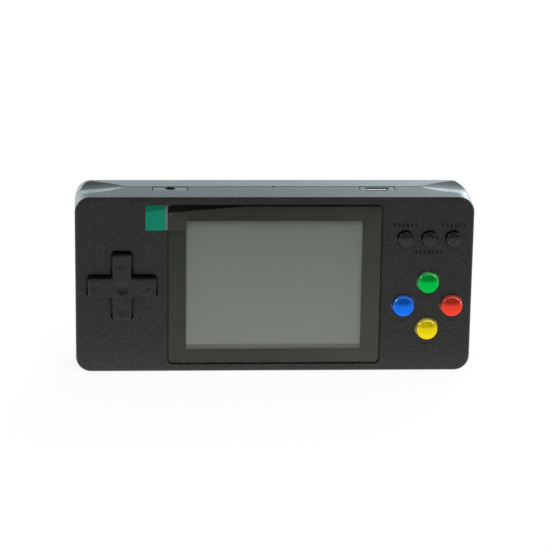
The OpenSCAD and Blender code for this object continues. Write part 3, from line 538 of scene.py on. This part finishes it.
def cross_outline(inset, count=600):
    """One arm as two outer arcs and one inner arc, turned four times, then spaced evenly along its run."""
    span, arm = pad_half_span - inset, pad_half_arm - inset
    outer, inner = pad_outer_round - corner_ease * inset, pad_inner_round + inset
    bend = np.linspace(0, np.pi / 2, 8)
    arc = np.stack([np.cos(bend), np.sin(bend)], -1)
    low = np.array([span - outer, -arm + outer]) + outer * np.stack([np.sin(bend), -np.cos(bend)], -1)
    high = np.array([span - outer, arm - outer]) + outer * arc
    crook = np.array([arm + inner, arm + inner]) - inner * arc[::-1]
    arm_points = np.vstack([low, high, crook])
    turn = np.arange(4) * np.pi / 2
    spin = np.stack([np.cos(turn), np.sin(turn), -np.sin(turn), np.cos(turn)], -1).reshape(4, 2, 2)
    ring = (arm_points @ spin).reshape(-1, 2)
    closed = np.vstack([ring, ring[:1]])
    run = np.concatenate([[0], np.cumsum(np.linalg.norm(np.diff(closed, axis=0), axis=1))])
    even = np.linspace(0, run[-1], count, endpoint=False)
    return np.stack([np.interp(even, run, closed[:, k]) for k in (0, 1)], -1)


pad_outline = cross_outline(0)
print("pad outline", len(pad_outline), "points,", round(float(np.ptp(pad_outline[:, 0])), 2), "mm across")

# %% Relief of the pad
arrow_depth, arrow_length, arrow_half = 0.25, 2.8, 1.75
arrow_from_tip, arrow_wall, arrow_lead = 4.4, 0.22, 0.3
arrow_base = pad_half_span - arrow_from_tip
dish_radius, dish_depth = 2.6, 0.45


def pad_relief(flat):
    """Depth below the arm tops: an arrow is cut inside three lines, and the dish is a ball's cap."""
    along, across = np.abs(flat).max(-1), np.abs(flat).min(-1)
    slant = arrow_half * (1 - (along - arrow_base) / arrow_length) - across
    inside = np.minimum(along - arrow_base, slant * math.cos(math.atan2(arrow_half, arrow_length)))
    arrow = arrow_depth * np.clip(inside / arrow_wall + arrow_lead, 0, 1)
    ball = (dish_radius ** 2 + dish_depth ** 2) / (2 * dish_depth)
    reach = np.minimum(np.linalg.norm(flat, axis=-1), dish_radius)
    dish = np.sqrt(ball ** 2 - reach ** 2) - (ball - dish_depth)
    return arrow + dish


# %% Direction pad
pad_edge, pad_foot = 0.55, 0.5
arm_top = pad_lo[1]
pad_flange_y = face_y + 3.35
top_rings, smallest_ring = 96, 0.02


def pad_skin():
    """Side wall and rounded edge as rings, then the top as shrinking copies of the outline with relief."""
    side = [(0, pad_flange_y + pad_foot)] + quarter_round(pad_edge, 0, arm_top)
    walls = stack_rings(cross_outline, side, pad_centre)
    shrink = np.linspace(1, smallest_ring, top_rings)[1:, None, None]
    flat = cross_outline(pad_edge) * shrink
    depth = (arm_top + pad_relief(flat))[..., None]
    top = np.concatenate([flat[..., :1] + pad_centre[0], depth, flat[..., 1:] + pad_centre[1]], -1)
    middle = np.array([pad_centre[0], arm_top + dish_depth, pad_centre[1]])
    return closed_skin(np.concatenate([walls, top]), None, middle)


add_piece("dpad_cross", pad_skin(), pad_black, "dpad", ("dpad",), crease=60)

# %% [markdown]
# ### What keeps the pad in
# Behind the face a round flange stops the cross from falling out, and four nubs on it press the rubber.
# They are turned parts: one profile of radius and depth is swept round an axis, as a lathe would cut it.
# The same function makes the buttons later.

# %% Turned parts
def turned_skin(profile, centre, count=72):
    """Profile of (radius, depth) swept once round the depth axis; an end with radius 0 is a single point."""
    angle = np.linspace(0, 2 * np.pi, count, endpoint=False)
    circle = np.stack([np.cos(angle), np.sin(angle)], -1)
    inner = [pair for pair in profile if pair[0] > 0]
    rings = stack_rings(lambda radius: circle * radius, inner, np.array(centre))
    ends = [None if radius > 0 else np.array([centre[0], depth, centre[1]])
            for radius, depth in (profile[0], profile[-1])]
    return closed_skin(rings, *ends)


pad_flange_radius, pad_flange_wall = (pad_hi - pad_lo)[0] / 2, 1.0
nub_reach, nub_radius, nub_root, nub_crown = 8.0, 1.5, 0.1, 0.04
nub_end = face_y + 5.6
pad_flange_back = pad_flange_y + pad_flange_wall
disc_profile = [(pad_flange_radius, pad_flange_y), (pad_flange_radius, pad_flange_back)]
nub_profile = [(nub_radius, pad_flange_back - nub_root), (nub_radius, nub_end), (0, nub_end + nub_crown)]
nub_places = [pad_centre + nub_reach * np.array(way) for way in ((1, 0), (0, 1), (-1, 0), (0, -1))]
flange_parts = [turned_skin(disc_profile, pad_centre)]
flange_parts += [turned_skin(nub_profile, place, count=24) for place in nub_places]
add_piece("dpad_flange", join_skins(flange_parts), pad_black, "dpad")

# %% [markdown]
# ## Round buttons
# Each button is turned like a lathe part: a stem, a flange that keeps it behind the face, a side, a rounded
# shoulder and a low crown. The four action buttons are pearl plastic: the gloss itself is tinted, so the
# lower half of a crown mirrors the white table in its own colour, and the upper half mirrors the dim room.

# %% Candy finish
# The rim's painted sheen: its colour is paled towards white and its metallic share lowered.
rim_start, rim_end, rim_sheen_white, rim_sheen_pearl = 3.1, 3.5, 0.16, 0.75
fleck_scale, fleck_reach, fleck_depth = 2600, 0.3, 0.9


def sheen_rim_share(material, node):
    """0 on the crown and 1 on the rim, where a sheen is painted, from the distance to the button's own axis.
    """
    tree = material.node_tree
    centre = sum(box_mm(node)) / 2 * MM
    place = tree.nodes.new("ShaderNodeTexCoord").outputs["Object"]
    to_axis = (-centre[0], 0, -centre[2])
    flat = wire(tree, "ShaderNodeMapping", Vector=place, Location=to_axis, Scale=(1, 0, 1))
    reach = wire(tree, "ShaderNodeVectorMath", Vector=flat.outputs[0])
    reach.operation = "LENGTH"
    return spread(material, reach.outputs["Value"], 0, 1, start=rim_start * MM, end=rim_end * MM)


def candy(name, node, bright, pearl):
    """Plastic with a tinted gloss, pearl being its metallic share, with flecks and a painted sheen: a paler,
    duller rim.
    """
    deep = tuple(fleck_depth * part for part in bright)
    sheen_pale = tuple((1 - rim_sheen_white) * part + rim_sheen_white for part in bright)
    material = new_finish(name, bright, 0.22, Specular_IOR_Level=0.1)
    tree = material.node_tree
    rim = sheen_rim_share(material, node)
    fleck = spread(material, speckle(material, fleck_scale, detail=4), 0, fleck_reach)
    tone = maths(tree, "ADD", fleck, maths(tree, "MULTIPLY", rim, 1 - fleck_reach))
    stops = ((0.0, deep), (fleck_reach, bright), (1.0, sheen_pale))
    link_in(material, "Base Color", colour_ramp(tree, tone, stops))
    link_in(material, "Metallic", spread(material, rim, pearl, rim_sheen_pearl * pearl, start=0, end=1))
    return material


# %% Buttons
stem_radius, flange_depth, flange_thickness = 1.6, 2.06, 1.0
shoulder_steps, crown_steps = 9, 16


def button_profile(node, radius, shoulder, crown):
    """Radius and depth from the stem's end, over flange, side and shoulder, to the top of a ball's cap."""
    low, high = box_mm(node)
    front, back = low[1], high[1]
    flange = (high - low)[0] / 2
    flange_front = face_y + flange_depth
    flange_back = flange_front + flange_thickness
    outline = [(0, back), (stem_radius, back), (stem_radius, flange_back), (flange, flange_back),
               (flange, flange_front), (radius, flange_front)]
    edge = quarter_round(shoulder, 0, front + crown, shoulder_steps)
    outline += [(radius - inset, depth) for inset, depth in edge]
    crown_edge = radius - shoulder
    ball = (crown_edge ** 2 + crown ** 2) / (2 * crown)
    reach = np.linspace(crown_edge, 0, crown_steps)[1:]
    depth = front + ball - np.sqrt(ball ** 2 - reach ** 2)
    return outline + [(float(r), float(d)) for r, d in zip(reach, depth)]


def add_button(node, material, slot, radius, shoulder, crown):
    """One round button in place of its CAD node."""
    low, high = box_mm(node)
    profile = button_profile(node, radius, shoulder, crown)
    skin = turned_skin(profile, (low + high)[[0, 2]] / 2, count=96)
    add_piece(node.replace("button", "cap"), skin, material, node, (node,), crease=35)


action_colours = {"green": ((0.0015, 0.6, 0.075), 0.86), "blue": ((0.011, 0.195, 1.0), 0.9),
                  "red": ((1.0, 0.064, 0.031), 0.9), "yellow": ((0.98, 0.775, 0.006), 0.68)}
action_form = {"radius": 3.65, "shoulder": 1.0, "crown": 0.5}
for colour, (tint, pearl) in action_colours.items():
    finish = candy(colour + "_candy", colour + "_button", tint, pearl)
    add_button(colour + "_button", finish, colour + "_candy", **action_form)
function_names = ("reset", "select", "start")
function_form = {"radius": 2.6, "shoulder": 0.5, "crown": 0.25}
for name in function_names:
    add_button(name + "_button", button_black, "pad_black", **function_form)

# %% [markdown]
# Plain printed marks stand beside the buttons: a row of bars by each function button and a tally of dots
# under each action button. The ink is a deeper black than the case, so they only just show. They could be
# painted by the finish, but low blocks are in the mesh as well.

# %% Marks on the face
bar_size, bar_corner, bar_pitch = (0.8, 1.45), 0.3, 1.45
dot_size, dot_corner, dot_pitch = (0.68, 0.68), 0.33, 1.0
mark_height, mark_root, mark_bevel = 0.03, 0.05, 0.05
function_mark_gap, action_mark_gap = 4.75, 5.4
mark_ink = new_finish("mark_ink", (0.002, 0.002, 0.002), 0.6, Specular_IOR_Level=0.32)
mottle(mark_ink, speckle(mark_ink, 1500), (0.0015, 0.0015, 0.0015), (0.003, 0.003, 0.003))


def mark_skin(centre, width, height, radius):
    """Low block with a round outline and a chamfer, rooted in the face."""
    profile = [(0, face_y + mark_root), (0, face_y - mark_height / 2), (mark_bevel, face_y - mark_height)]
    return closed_skin(stack_rings(drawn_in(width, height, radius, per_corner=5), profile, centre))


def tally(node, count, rise, size, radius, pitch):
    """A row of equal marks, centred above or below a button."""
    middle = sum(box_mm(node))[[0, 2]] / 2 + np.array([0, rise])
    shifts = (np.arange(count) - (count - 1) / 2) * pitch
    return [mark_skin(middle + np.array([shift, 0]), *size, radius) for shift in shifts]


marks = []
for name, side, count in zip(function_names, (1, -1, 1), (6, 7, 6)):
    marks += tally(name + "_button", count, side * function_mark_gap, bar_size, bar_corner, bar_pitch)
for count, colour in enumerate(action_colours, 1):
    marks += tally(colour + "_button", count, -action_mark_gap, dot_size, dot_corner, dot_pitch)
add_piece("face_marks", join_skins(marks), mark_ink, "console")

# %% [markdown]
# ## The screen
# Behind the window lies a grey display. A clear lens sits in the recess with a dark print round its back,
# and a thin protective film, a little milky, covers it. Someone has begun to peel the film at one corner,
# so its upper edge hangs low there and the bare lens shows as a dark wedge. True glass would bend the light
# twice, which doesn't show on so thin a plate, so the lens is see-through with a gloss on top.

# %% Lens and print
lens_lo, lens_hi = box_mm("screen_lens")
lens_centre = (lens_lo + lens_hi)[[0, 2]] / 2
lens_width, lens_height = (lens_hi - lens_lo)[[0, 2]]
lens_corner, lens_bevel, lens_shy, print_shy = 1.8, 0.2, 0.15, 0.05
view_width, view_height, view_corner = 60.0, 45.5, 0.4
view_centre = lens_centre + np.array([-0.2, -0.43])
lens_back, print_front, print_back = (lens_hi[1] - gap for gap in (0.15, 0.08, 0.04))
# The lens is made a hair smaller than its recess asks for
lens_ring = drawn_in(lens_width - 2 * lens_shy, lens_height - 2 * lens_shy, lens_corner - lens_shy)


def lens_skin():
    """Clear plate with a small bevel round its front."""
    front, break_in = lens_lo[1], 0.3 * lens_bevel
    profile = [(0, lens_back), (0, front + lens_bevel), (break_in, front + break_in), (lens_bevel, front)]
    return closed_skin(stack_rings(lens_ring, profile, lens_centre))


def print_skin():
    """Flat frame between the lens outline and the picture area, closed front and back."""
    outer = lens_ring(print_shy) + lens_centre
    inner = rounded_outline(view_width, view_height, view_corner) + view_centre
    rings = [np.insert(ring, 1, depth, axis=1) for ring, depth in
             ((outer, print_front), (outer, print_back), (inner, print_back), (inner, print_front))]
    return looped_skin(np.stack(rings))


# %% Clear finish
glare_cut = 0.004


def clear_finish(name, roughness, index):
    """See-through, with a mirror gloss at shallow angles only; a low index stands for an anti-glare coat."""
    material = bpy.data.materials.new(name)
    tree = blank_tree(material)
    bare = wire(tree, "ShaderNodeBsdfTransparent", Color=(0.96, 0.97, 0.96, 1))
    gloss = wire(tree, "ShaderNodeBsdfGlossy", Color=(1, 1, 1, 1), Roughness=roughness)
    glare = maths(tree, "SUBTRACT", wire(tree, "ShaderNodeFresnel", IOR=index).outputs[0], glare_cut)
    wire(tree, "ShaderNodeOutputMaterial", Surface=mix_shaders(tree, glare, bare, gloss).outputs[0])
    return material


lens_glass = clear_finish("lens_clear", roughness=0.04, index=1.1)
lens = add_piece("screen_lens_clear", lens_skin(), lens_glass, "console", ("screen_lens",))
lens.visible_shadow = False

# %% [markdown]
# The film's faint haze pales what lies behind it. A thin haze in front of black ink would render as grain,
# so the paleness is mixed into the ink and the display instead. It is stronger low down and to the right,
# which is a painted reflection in the film, and it ends at the film's peeled edge, where the bare lens shows
# the ink as it is.

# %% Ink under the film
film_lo, film_hi = box_mm("protective_film")
film_margin, wedge_drop, wedge_end = 0.3, 2.3, -9.0
edge_parallax, edge_blur = 0.35, 0.15
ink_black, haze_and_reflection_tint = (0.0065, 0.0075, 0.0068), (0.136, 0.1345, 0.115)
# Haze with a painted reflection in it: its factors low down, high up and to the right.
haze_and_reflection_foot, haze_and_reflection_top, reflection_right = 0.7, 0.34, 1.32


def rub_marks(material, low, high):
    """Faint streaks, wider than they are high, as a range of values."""
    return spread(material, speckle(material, 40, detail=5, stretch=(1, 1, 3)), low, high)


def haze_and_reflection(material):
    """Paleness from the film's haze and a painted reflection in it: more low down and to the right, with
    faint rub marks.
    """
    tree = material.node_tree
    place = own_place(material)
    haze_and_reflection_by_height = spread(material, place["Z"], haze_and_reflection_foot, haze_and_reflection_top, start=film_lo[2] * MM, end=film_hi[2] * MM)
    right = spread(material, place["X"], 1.0, reflection_right, start=0, end=film_hi[0] * MM)
    return maths(tree, "MULTIPLY", maths(tree, "MULTIPLY", haze_and_reflection_by_height, right), rub_marks(material, 0.94, 1.06))


def print_finish():
    """Black ink, paler by the film's haze and painted reflection wherever the film lies in front; the peeled
    edge is a line falling to the left.
    """
    material = new_finish("lens_print", ink_black, 0.5, Specular_IOR_Level=0.0)
    tree = material.node_tree
    place = own_place(material)
    past = maths(tree, "MAXIMUM", maths(tree, "SUBTRACT", wedge_end * MM, place["X"]), 0.0)
    fall = maths(tree, "MULTIPLY", past, wedge_drop / (wedge_end - film_lo[0]))
    edge = (film_hi[2] - film_margin - edge_parallax) * MM
    height = maths(tree, "ADD", place["Z"], fall)
    covered = spread(material, height, 1, 0, start=edge - edge_blur * MM, end=edge + edge_blur * MM)
    haze_and_reflection_share = maths(tree, "MULTIPLY", haze_and_reflection(material), covered)
    link_in(material, "Base Color", colour_ramp(tree, haze_and_reflection_share, ((0.0, ink_black), (1.0, haze_and_reflection_tint))))
    return material


add_piece("screen_print", print_skin(), print_finish(), "console")

# %% [markdown]
# ### The display
# A display that is switched off is a flat grey sheet. Here it is a little lighter towards its foot, where a
# dim
# band marks the end of the picture: the top is darkened by painted shade of the window's upper edge, and the
# foot paled by the film's haze and a painted reflection in it. The CAD panel has that shape already, so all
# it needs is a finish whose colour follows the height.

# %% Display
band_grey = (0.236, 0.232, 0.215)
# Painted light: shade darkens the top, and the film's haze with a painted reflection pales the foot.
display_painted_light_by_height = ((0.0, band_grey), (0.026, band_grey), (0.034, (0.369, 0.374, 0.352)),
                     (0.5, (0.306, 0.314, 0.296)), (1.0, (0.242, 0.253, 0.229)))


def display_finish():
    """Grey with a breath of green and a fine grain; by height, painted shade at the top, haze and painted
    reflection low.
    """
    material = new_finish("display_grey", (0.16, 0.17, 0.155), 0.4, Specular_IOR_Level=0.15)
    foot, top = ((view_centre[1] + side * view_height / 2) * MM for side in (-1, 1))
    rise = spread(material, own_place(material)["Z"], 0, 1, start=foot, end=top)
    link_in(material, "Base Color", colour_ramp(material.node_tree, rise, display_painted_light_by_height))
    return grain(material, speckle(material, 9000, detail=1), strength=0.05, height_mm=0.004)


soften("lcd_panel", display_finish())
print("display dressed, picture", view_width, "by", view_height, "mm")

# %% [markdown]
# ### The protective film
# The film is a thin clear sheet that lies on the lens. Its points come from two parameters, one across and
# one up: the upper edge falls and lifts towards the peeled corner. A Solidify modifier then gives the sheet
# its thickness, which is simpler than building its back and its edges by hand.

# %% Sheets
def sheet_grid(columns, rows):
    """Two parameters from 0 to 1 on a grid."""
    return np.meshgrid(np.linspace(0, 1, columns), np.linspace(0, 1, rows))


def open_skin(grid):
    """Quads over a grid of points, facing the viewer."""
    rows, columns = grid.shape[:2]
    i, j = np.meshgrid(np.arange(rows - 1), np.arange(columns - 1), indexing="ij")
    start = i * columns + j
    quads = np.stack([start, start + 1, start + columns + 1, start + columns], -1)
    return grid.reshape(-1, 3), quads.reshape(-1, 4).tolist()


def corner_cut(v, height, corner):
    """How far a round corner draws the side in at each height: corner less the circle's chord."""
    past = np.clip(np.abs(v - 0.5) * height - (height / 2 - corner), 0, corner)
    return corner - np.sqrt(corner ** 2 - past ** 2)


def add_sheet(name, grid, thickness, material, replaced=()):
    """An open sheet given a thickness behind its face."""
    piece = add_piece(name, open_skin(grid), material, "console", replaced)
    wall = piece.modifiers.new("thickness", "SOLIDIFY")
    wall.thickness = thickness * MM
    wall.offset = -1
    return piece


# %% Protective film
film_thickness, film_corner = 0.04, 1.5
film_lift, lift_start = 0.35, 0.72


def film_grid():
    """Sheet over the lens: its upper edge falls towards the peeled corner, where it also lifts off."""
    u, v = sheet_grid(columns=110, rows=70)
    low, high = film_lo + film_margin, film_hi - film_margin
    half = (high - low)[0] / 2 - corner_cut(v, (high - low)[2], film_corner)
    x = (low + high)[0] / 2 + (2 * u - 1) * half
    peel = np.clip((wedge_end - x) / (wedge_end - film_lo[0]), 0, 1)
    z = low[2] + v * (high[2] - wedge_drop * peel - low[2])
    rise = np.clip((v - lift_start) / (1 - lift_start), 0, 1)
    lift = film_lift * peel ** 1.5 * rise ** 2
    return np.stack([x, film_lo[1] - lift, z], -1)


def film_finish():
    """Clear sheet whose gloss at shallow angles has rub marks, from rougher and smoother streaks."""
    material = clear_finish("film_clear", roughness=0.15, index=1.12)
    tree = material.node_tree
    tree.links.new(rub_marks(material, 0.08, 0.24), tree.nodes["Glossy BSDF"].inputs["Roughness"])
    return material


film = add_sheet("film_sheet", film_grid(), film_thickness, film_finish(),
                 ("protective_film",))
film.visible_shadow = False

# %% [markdown]
# ### The pull tab
# To peel the film one pulls a green label, which is fixed to it by a strip of clear tape, with a grey fold
# between them. All three are strips of the same height, so one function makes them, and only the label's
# free end curls away from the case.

# %% Strips of the pull tab
tab_lo, tab_hi = box_mm("film_pull_tab")
tab_joint = film_lo[0] - 0.8
tab_corner = 0.7


def tab_grid(left, right, curl, front):
    """Flat strip with round corners; curl bends its free end away from the case."""
    u, v = sheet_grid(columns=48, rows=36)
    height = tab_hi[2] - tab_lo[2]
    cut = corner_cut(v, height, tab_corner)
    x = left + cut + u * (right - left - 2 * cut)
    free = np.clip((right - x) / (right - left), 0, 1)
    return np.stack([x, front - curl * free ** 2, tab_lo[2] + v * height], -1)


# %% Green label
tab_curl, tab_thickness, tab_proud = 0.25, 0.08, 0.01
band_slope, band_drop, band_blur = 0.2, 2.5, 1.2


def tab_finish():
    """Green plastic label: a darker band across the top, with a soft slanting edge."""
    material = new_finish("tab_green", (0.006, 0.19, 0.12), 0.42, Specular_IOR_Level=0.15)
    tree = material.node_tree
    place = own_place(material)
    line = maths(tree, "SUBTRACT", place["Z"], maths(tree, "MULTIPLY", place["X"], band_slope))
    start = (tab_hi[2] - band_drop - band_slope * (tab_lo[0] + tab_joint) / 2) * MM
    band = spread(material, line, 0, 1, start=start, end=start + band_blur * MM)
    mottle(material, band, (0.005, 0.222, 0.138), (0.001, 0.125, 0.068))
    return grain(material, speckle(material, 1800), strength=0.15, height_mm=0.01)


label = tab_grid(tab_lo[0], tab_joint, tab_curl, tab_lo[1] - tab_proud)
add_sheet("tab_green", label, tab_thickness, tab_finish(), ("film_pull_tab",))

# %% Tape and fold
tape_overlap, tape_proud, tape_thickness = 0.3, 0.1, 0.05
tape_clear = new_finish("tape_clear", (0.4, 0.4, 0.37), 0.22, Specular_IOR_Level=0.5)
stuck_edge, loose_edge = ((tab_hi[2] - drop) * MM for drop in (3.2, 1.8))
stuck_down = spread(tape_clear, own_place(tape_clear)["Z"], 1, 0.1, start=stuck_edge, end=loose_edge)
bubbles = spread(tape_clear, speckle(tape_clear, 500, detail=4), 0.03, 0.05)
link_in(tape_clear, "Alpha", maths(tape_clear.node_tree, "MULTIPLY", stuck_down, bubbles))
tape_strip = tab_grid(tab_joint - tape_overlap, tab_hi[0], 0.0, tab_lo[1] - tape_proud)
tape = add_sheet("tab_tape", tape_strip, tape_thickness, tape_clear)
tape.visible_shadow = False

fold_width, fold_proud, fold_thickness = 0.7, 0.03, 0.04
fold_grey = new_finish("fold_grey", (0.13, 0.14, 0.14), 0.4, Specular_IOR_Level=0.3)
mottle(fold_grey, speckle(fold_grey, 900), (0.12, 0.13, 0.13), (0.15, 0.16, 0.16))
fold_strip = tab_grid(tab_joint, tab_joint + fold_width, 0.0, tab_lo[1] - fold_proud)
add_sheet("tab_fold", fold_strip, fold_thickness, fold_grey)

# %% [markdown]
# ## Inner pieces and small hardware
# The rest of the nodes keep their CAD shape. Each has its own finish all the same, because the battery, the
# contacts and the speaker show when the door opens or through the grille.

# %% Finishes of the other nodes
def simple_finish(slot, dark, light, roughness, scale, relief=0.01, **sockets):
    """A finish with a mottled tone and a fine relief."""
    material = new_finish(slot, dark, roughness, **sockets)
    mottle(material, speckle(material, scale, detail=4), dark, light)
    return grain(material, speckle(material, scale * 3, detail=2), strength=0.2, height_mm=relief)


other_finishes = {
    "adhesive_black": simple_finish("adhesive", (0.006, 0.006, 0.006), (0.01, 0.01, 0.01), 0.6, 900),
    "backlight_white": simple_finish("backlight", (0.62, 0.65, 0.68), (0.7, 0.72, 0.74), 0.5, 300),
    "foam_grey": simple_finish("foam", (0.03, 0.03, 0.03), (0.06, 0.06, 0.06), 0.95, 2500, 0.08),
    "ribbon_amber": simple_finish("ribbon", (0.38, 0.15, 0.02), (0.48, 0.2, 0.03), 0.3, 400),
    "board_green": simple_finish("board", (0.008, 0.07, 0.022), (0.014, 0.12, 0.04), 0.35, 450),
    "chip_black": simple_finish("chip", (0.008, 0.008, 0.008), (0.014, 0.014, 0.014), 0.55, 1500),
    "tin": simple_finish("tin", (0.55, 0.54, 0.51), (0.68, 0.67, 0.63), 0.28, 700, 0.004, Metallic=1.0),
    "steel": simple_finish("steel", (0.28, 0.29, 0.3), (0.4, 0.41, 0.42), 0.34, 900, 0.006, Metallic=1.0),
    "brass": simple_finish("brass", (0.6, 0.42, 0.13), (0.72, 0.52, 0.18), 0.26, 800, 0.004, Metallic=1.0),
    "light_clear": simple_finish("light_pipe", (0.6, 0.58, 0.53), (0.72, 0.7, 0.64), 0.2, 500),
    "magnet_grey": simple_finish("magnet", (0.12, 0.12, 0.13), (0.18, 0.18, 0.19), 0.5, 900),
    "cone_paper": simple_finish("cone", (0.02, 0.02, 0.02), (0.035, 0.034, 0.032), 0.85, 1300, 0.03),
    "lead_red": simple_finish("leads", (0.3, 0.02, 0.02), (0.42, 0.03, 0.03), 0.4, 800),
    "battery_wrap": simple_finish("battery_wrap", (0.03, 0.075, 0.19), (0.045, 0.1, 0.24), 0.3, 260),
    "rubber_grey": simple_finish("rubber", (0.06, 0.06, 0.057), (0.085, 0.085, 0.08), 0.8, 1200),
    "pivot_grey": simple_finish("pivot", (0.2, 0.2, 0.19), (0.28, 0.28, 0.265), 0.45, 900),
    "pad_black": pad_black,
}
print(len(other_finishes), "finishes for the other nodes")

# %% [markdown]
# ### Charging socket
# The socket is a sleeve of folded tin with its lip flared out over the panel, and a black tongue inside.
# The sleeve is one profile carried round a rounded rectangle: up the outside, out over the lip and down
# inside. A broad flat tab along its front catches the light.

# %% Tin of the charging socket
socket_lo, socket_hi = box_mm("usb_port")
socket_centre = (socket_lo + socket_hi)[:2] / 2
socket_width, socket_depth = (socket_hi - socket_lo)[:2]
sheet_thickness, socket_corner, lip_flare, lip_tilt = 0.3, 0.6, 0.3, 0.16
lip_top = box_mm("rear_shell")[1][2] - 0.03
lip_length, lip_reach, lip_corner = 6.6, 1.0, 0.3
lip_shift, lip_gap, lip_fall = 0.3, 0.22, 0.06


def socket_ring(inset):
    """Outline of the sleeve from above, drawn in by inset; a flare goes to the front and the sides."""
    ring = drawn_in(socket_width, socket_depth, socket_corner, per_corner=7, ease=0.5)(inset)
    return ring + np.array([0, min(inset, 0)])


def socket_wall(profile):
    """Profile carried round the socket and closed on itself; its upper rings fall towards the back."""
    rings = stack_rings(socket_ring, profile, socket_centre, depth_axis=2)
    rings[1:-1, :, 2] -= lip_tilt * (rings[1:-1, :, 1] - rings[..., 1].min())
    return looped_skin(rings)


def sleeve_skin():
    """Tin, from the floor up the outside to the lip and down the inside."""
    inner = sheet_thickness / 2
    outside = [(0, socket_lo[2]), (0, lip_top - 0.3)]
    lip = [(-lip_flare, lip_top - 0.1), (-lip_flare, lip_top - 0.02), (0.05, lip_top)]
    return socket_wall(outside + lip + [(inner, lip_top - 0.1), (inner, socket_lo[2])])


def lip_skin():
    """Broad front lip: a flat tab with round ends, folded out of the sleeve, a little lower at the back."""
    outline = drawn_in(lip_length, lip_reach, lip_corner, per_corner=5)
    front = socket_centre - np.array([lip_shift, socket_depth / 2 + lip_gap - lip_reach / 2])
    heights = [(0, lip_top - 0.4), (0, lip_top - 0.05), (0.05, lip_top)]
    rings = stack_rings(outline, heights, front, depth_axis=2)
    rings[1:, :, 2] -= lip_fall * (rings[1:, :, 1] - rings[..., 1].min())
    return closed_skin(rings)


socket_tin = join_skins([sleeve_skin(), lip_skin()])
add_piece("usb_sleeve", socket_tin, other_finishes["tin"], "console", ("usb_port",))

# %% Plastic of the charging socket
tongue_width, tongue_depth, tongue_corner, tongue_bevel, tongue_drop = 3.75, 0.65, 0.12, 0.1, 0.6


def lining_skin():
    """Black plastic inside the tin, with the same outline."""
    inner, outer, foot = sheet_thickness, sheet_thickness / 2, socket_lo[2]
    return socket_wall([(outer, foot), (outer, lip_top - 0.14), (inner, lip_top - 0.2), (inner, foot)])


def tongue_skin():
    """Flat bar in the middle of the sleeve on a floor that shuts it."""
    heights = [(0, socket_lo[2]), (0, socket_lo[2] + sheet_thickness)]
    floor = stack_rings(lambda inset: socket_ring(sheet_thickness), heights, socket_centre, depth_axis=2)
    tip = socket_hi[2] - tongue_drop
    bar = [(0, socket_lo[2] + 0.1), (0, tip - tongue_bevel), (tongue_bevel, tip)]
    outline = drawn_in(tongue_width, tongue_depth, tongue_corner, per_corner=5, ease=0.5)
    parts = [closed_skin(floor), closed_skin(stack_rings(outline, bar, socket_centre, depth_axis=2))]
    return join_skins(parts + [lining_skin()])


add_piece("usb_tongue", tongue_skin(), other_finishes["chip_black"], "console")

# %% [markdown]
# ## Dress the rest
# Every node that still shows takes the finish of its own slot in the record, so none keeps a flat colour.

# %% Dress the nodes that keep their shape
dressed = {"front_shell", "rear_shell", "battery_door", "lcd_panel"}
for node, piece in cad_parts.items():
    slot = piece.data.materials[0].name.split(".")[0]
    if node not in dressed and not piece.hide_render:
        soften(node, other_finishes[slot])
        dressed.add(node)
print(len(dressed), "nodes keep their CAD shape")
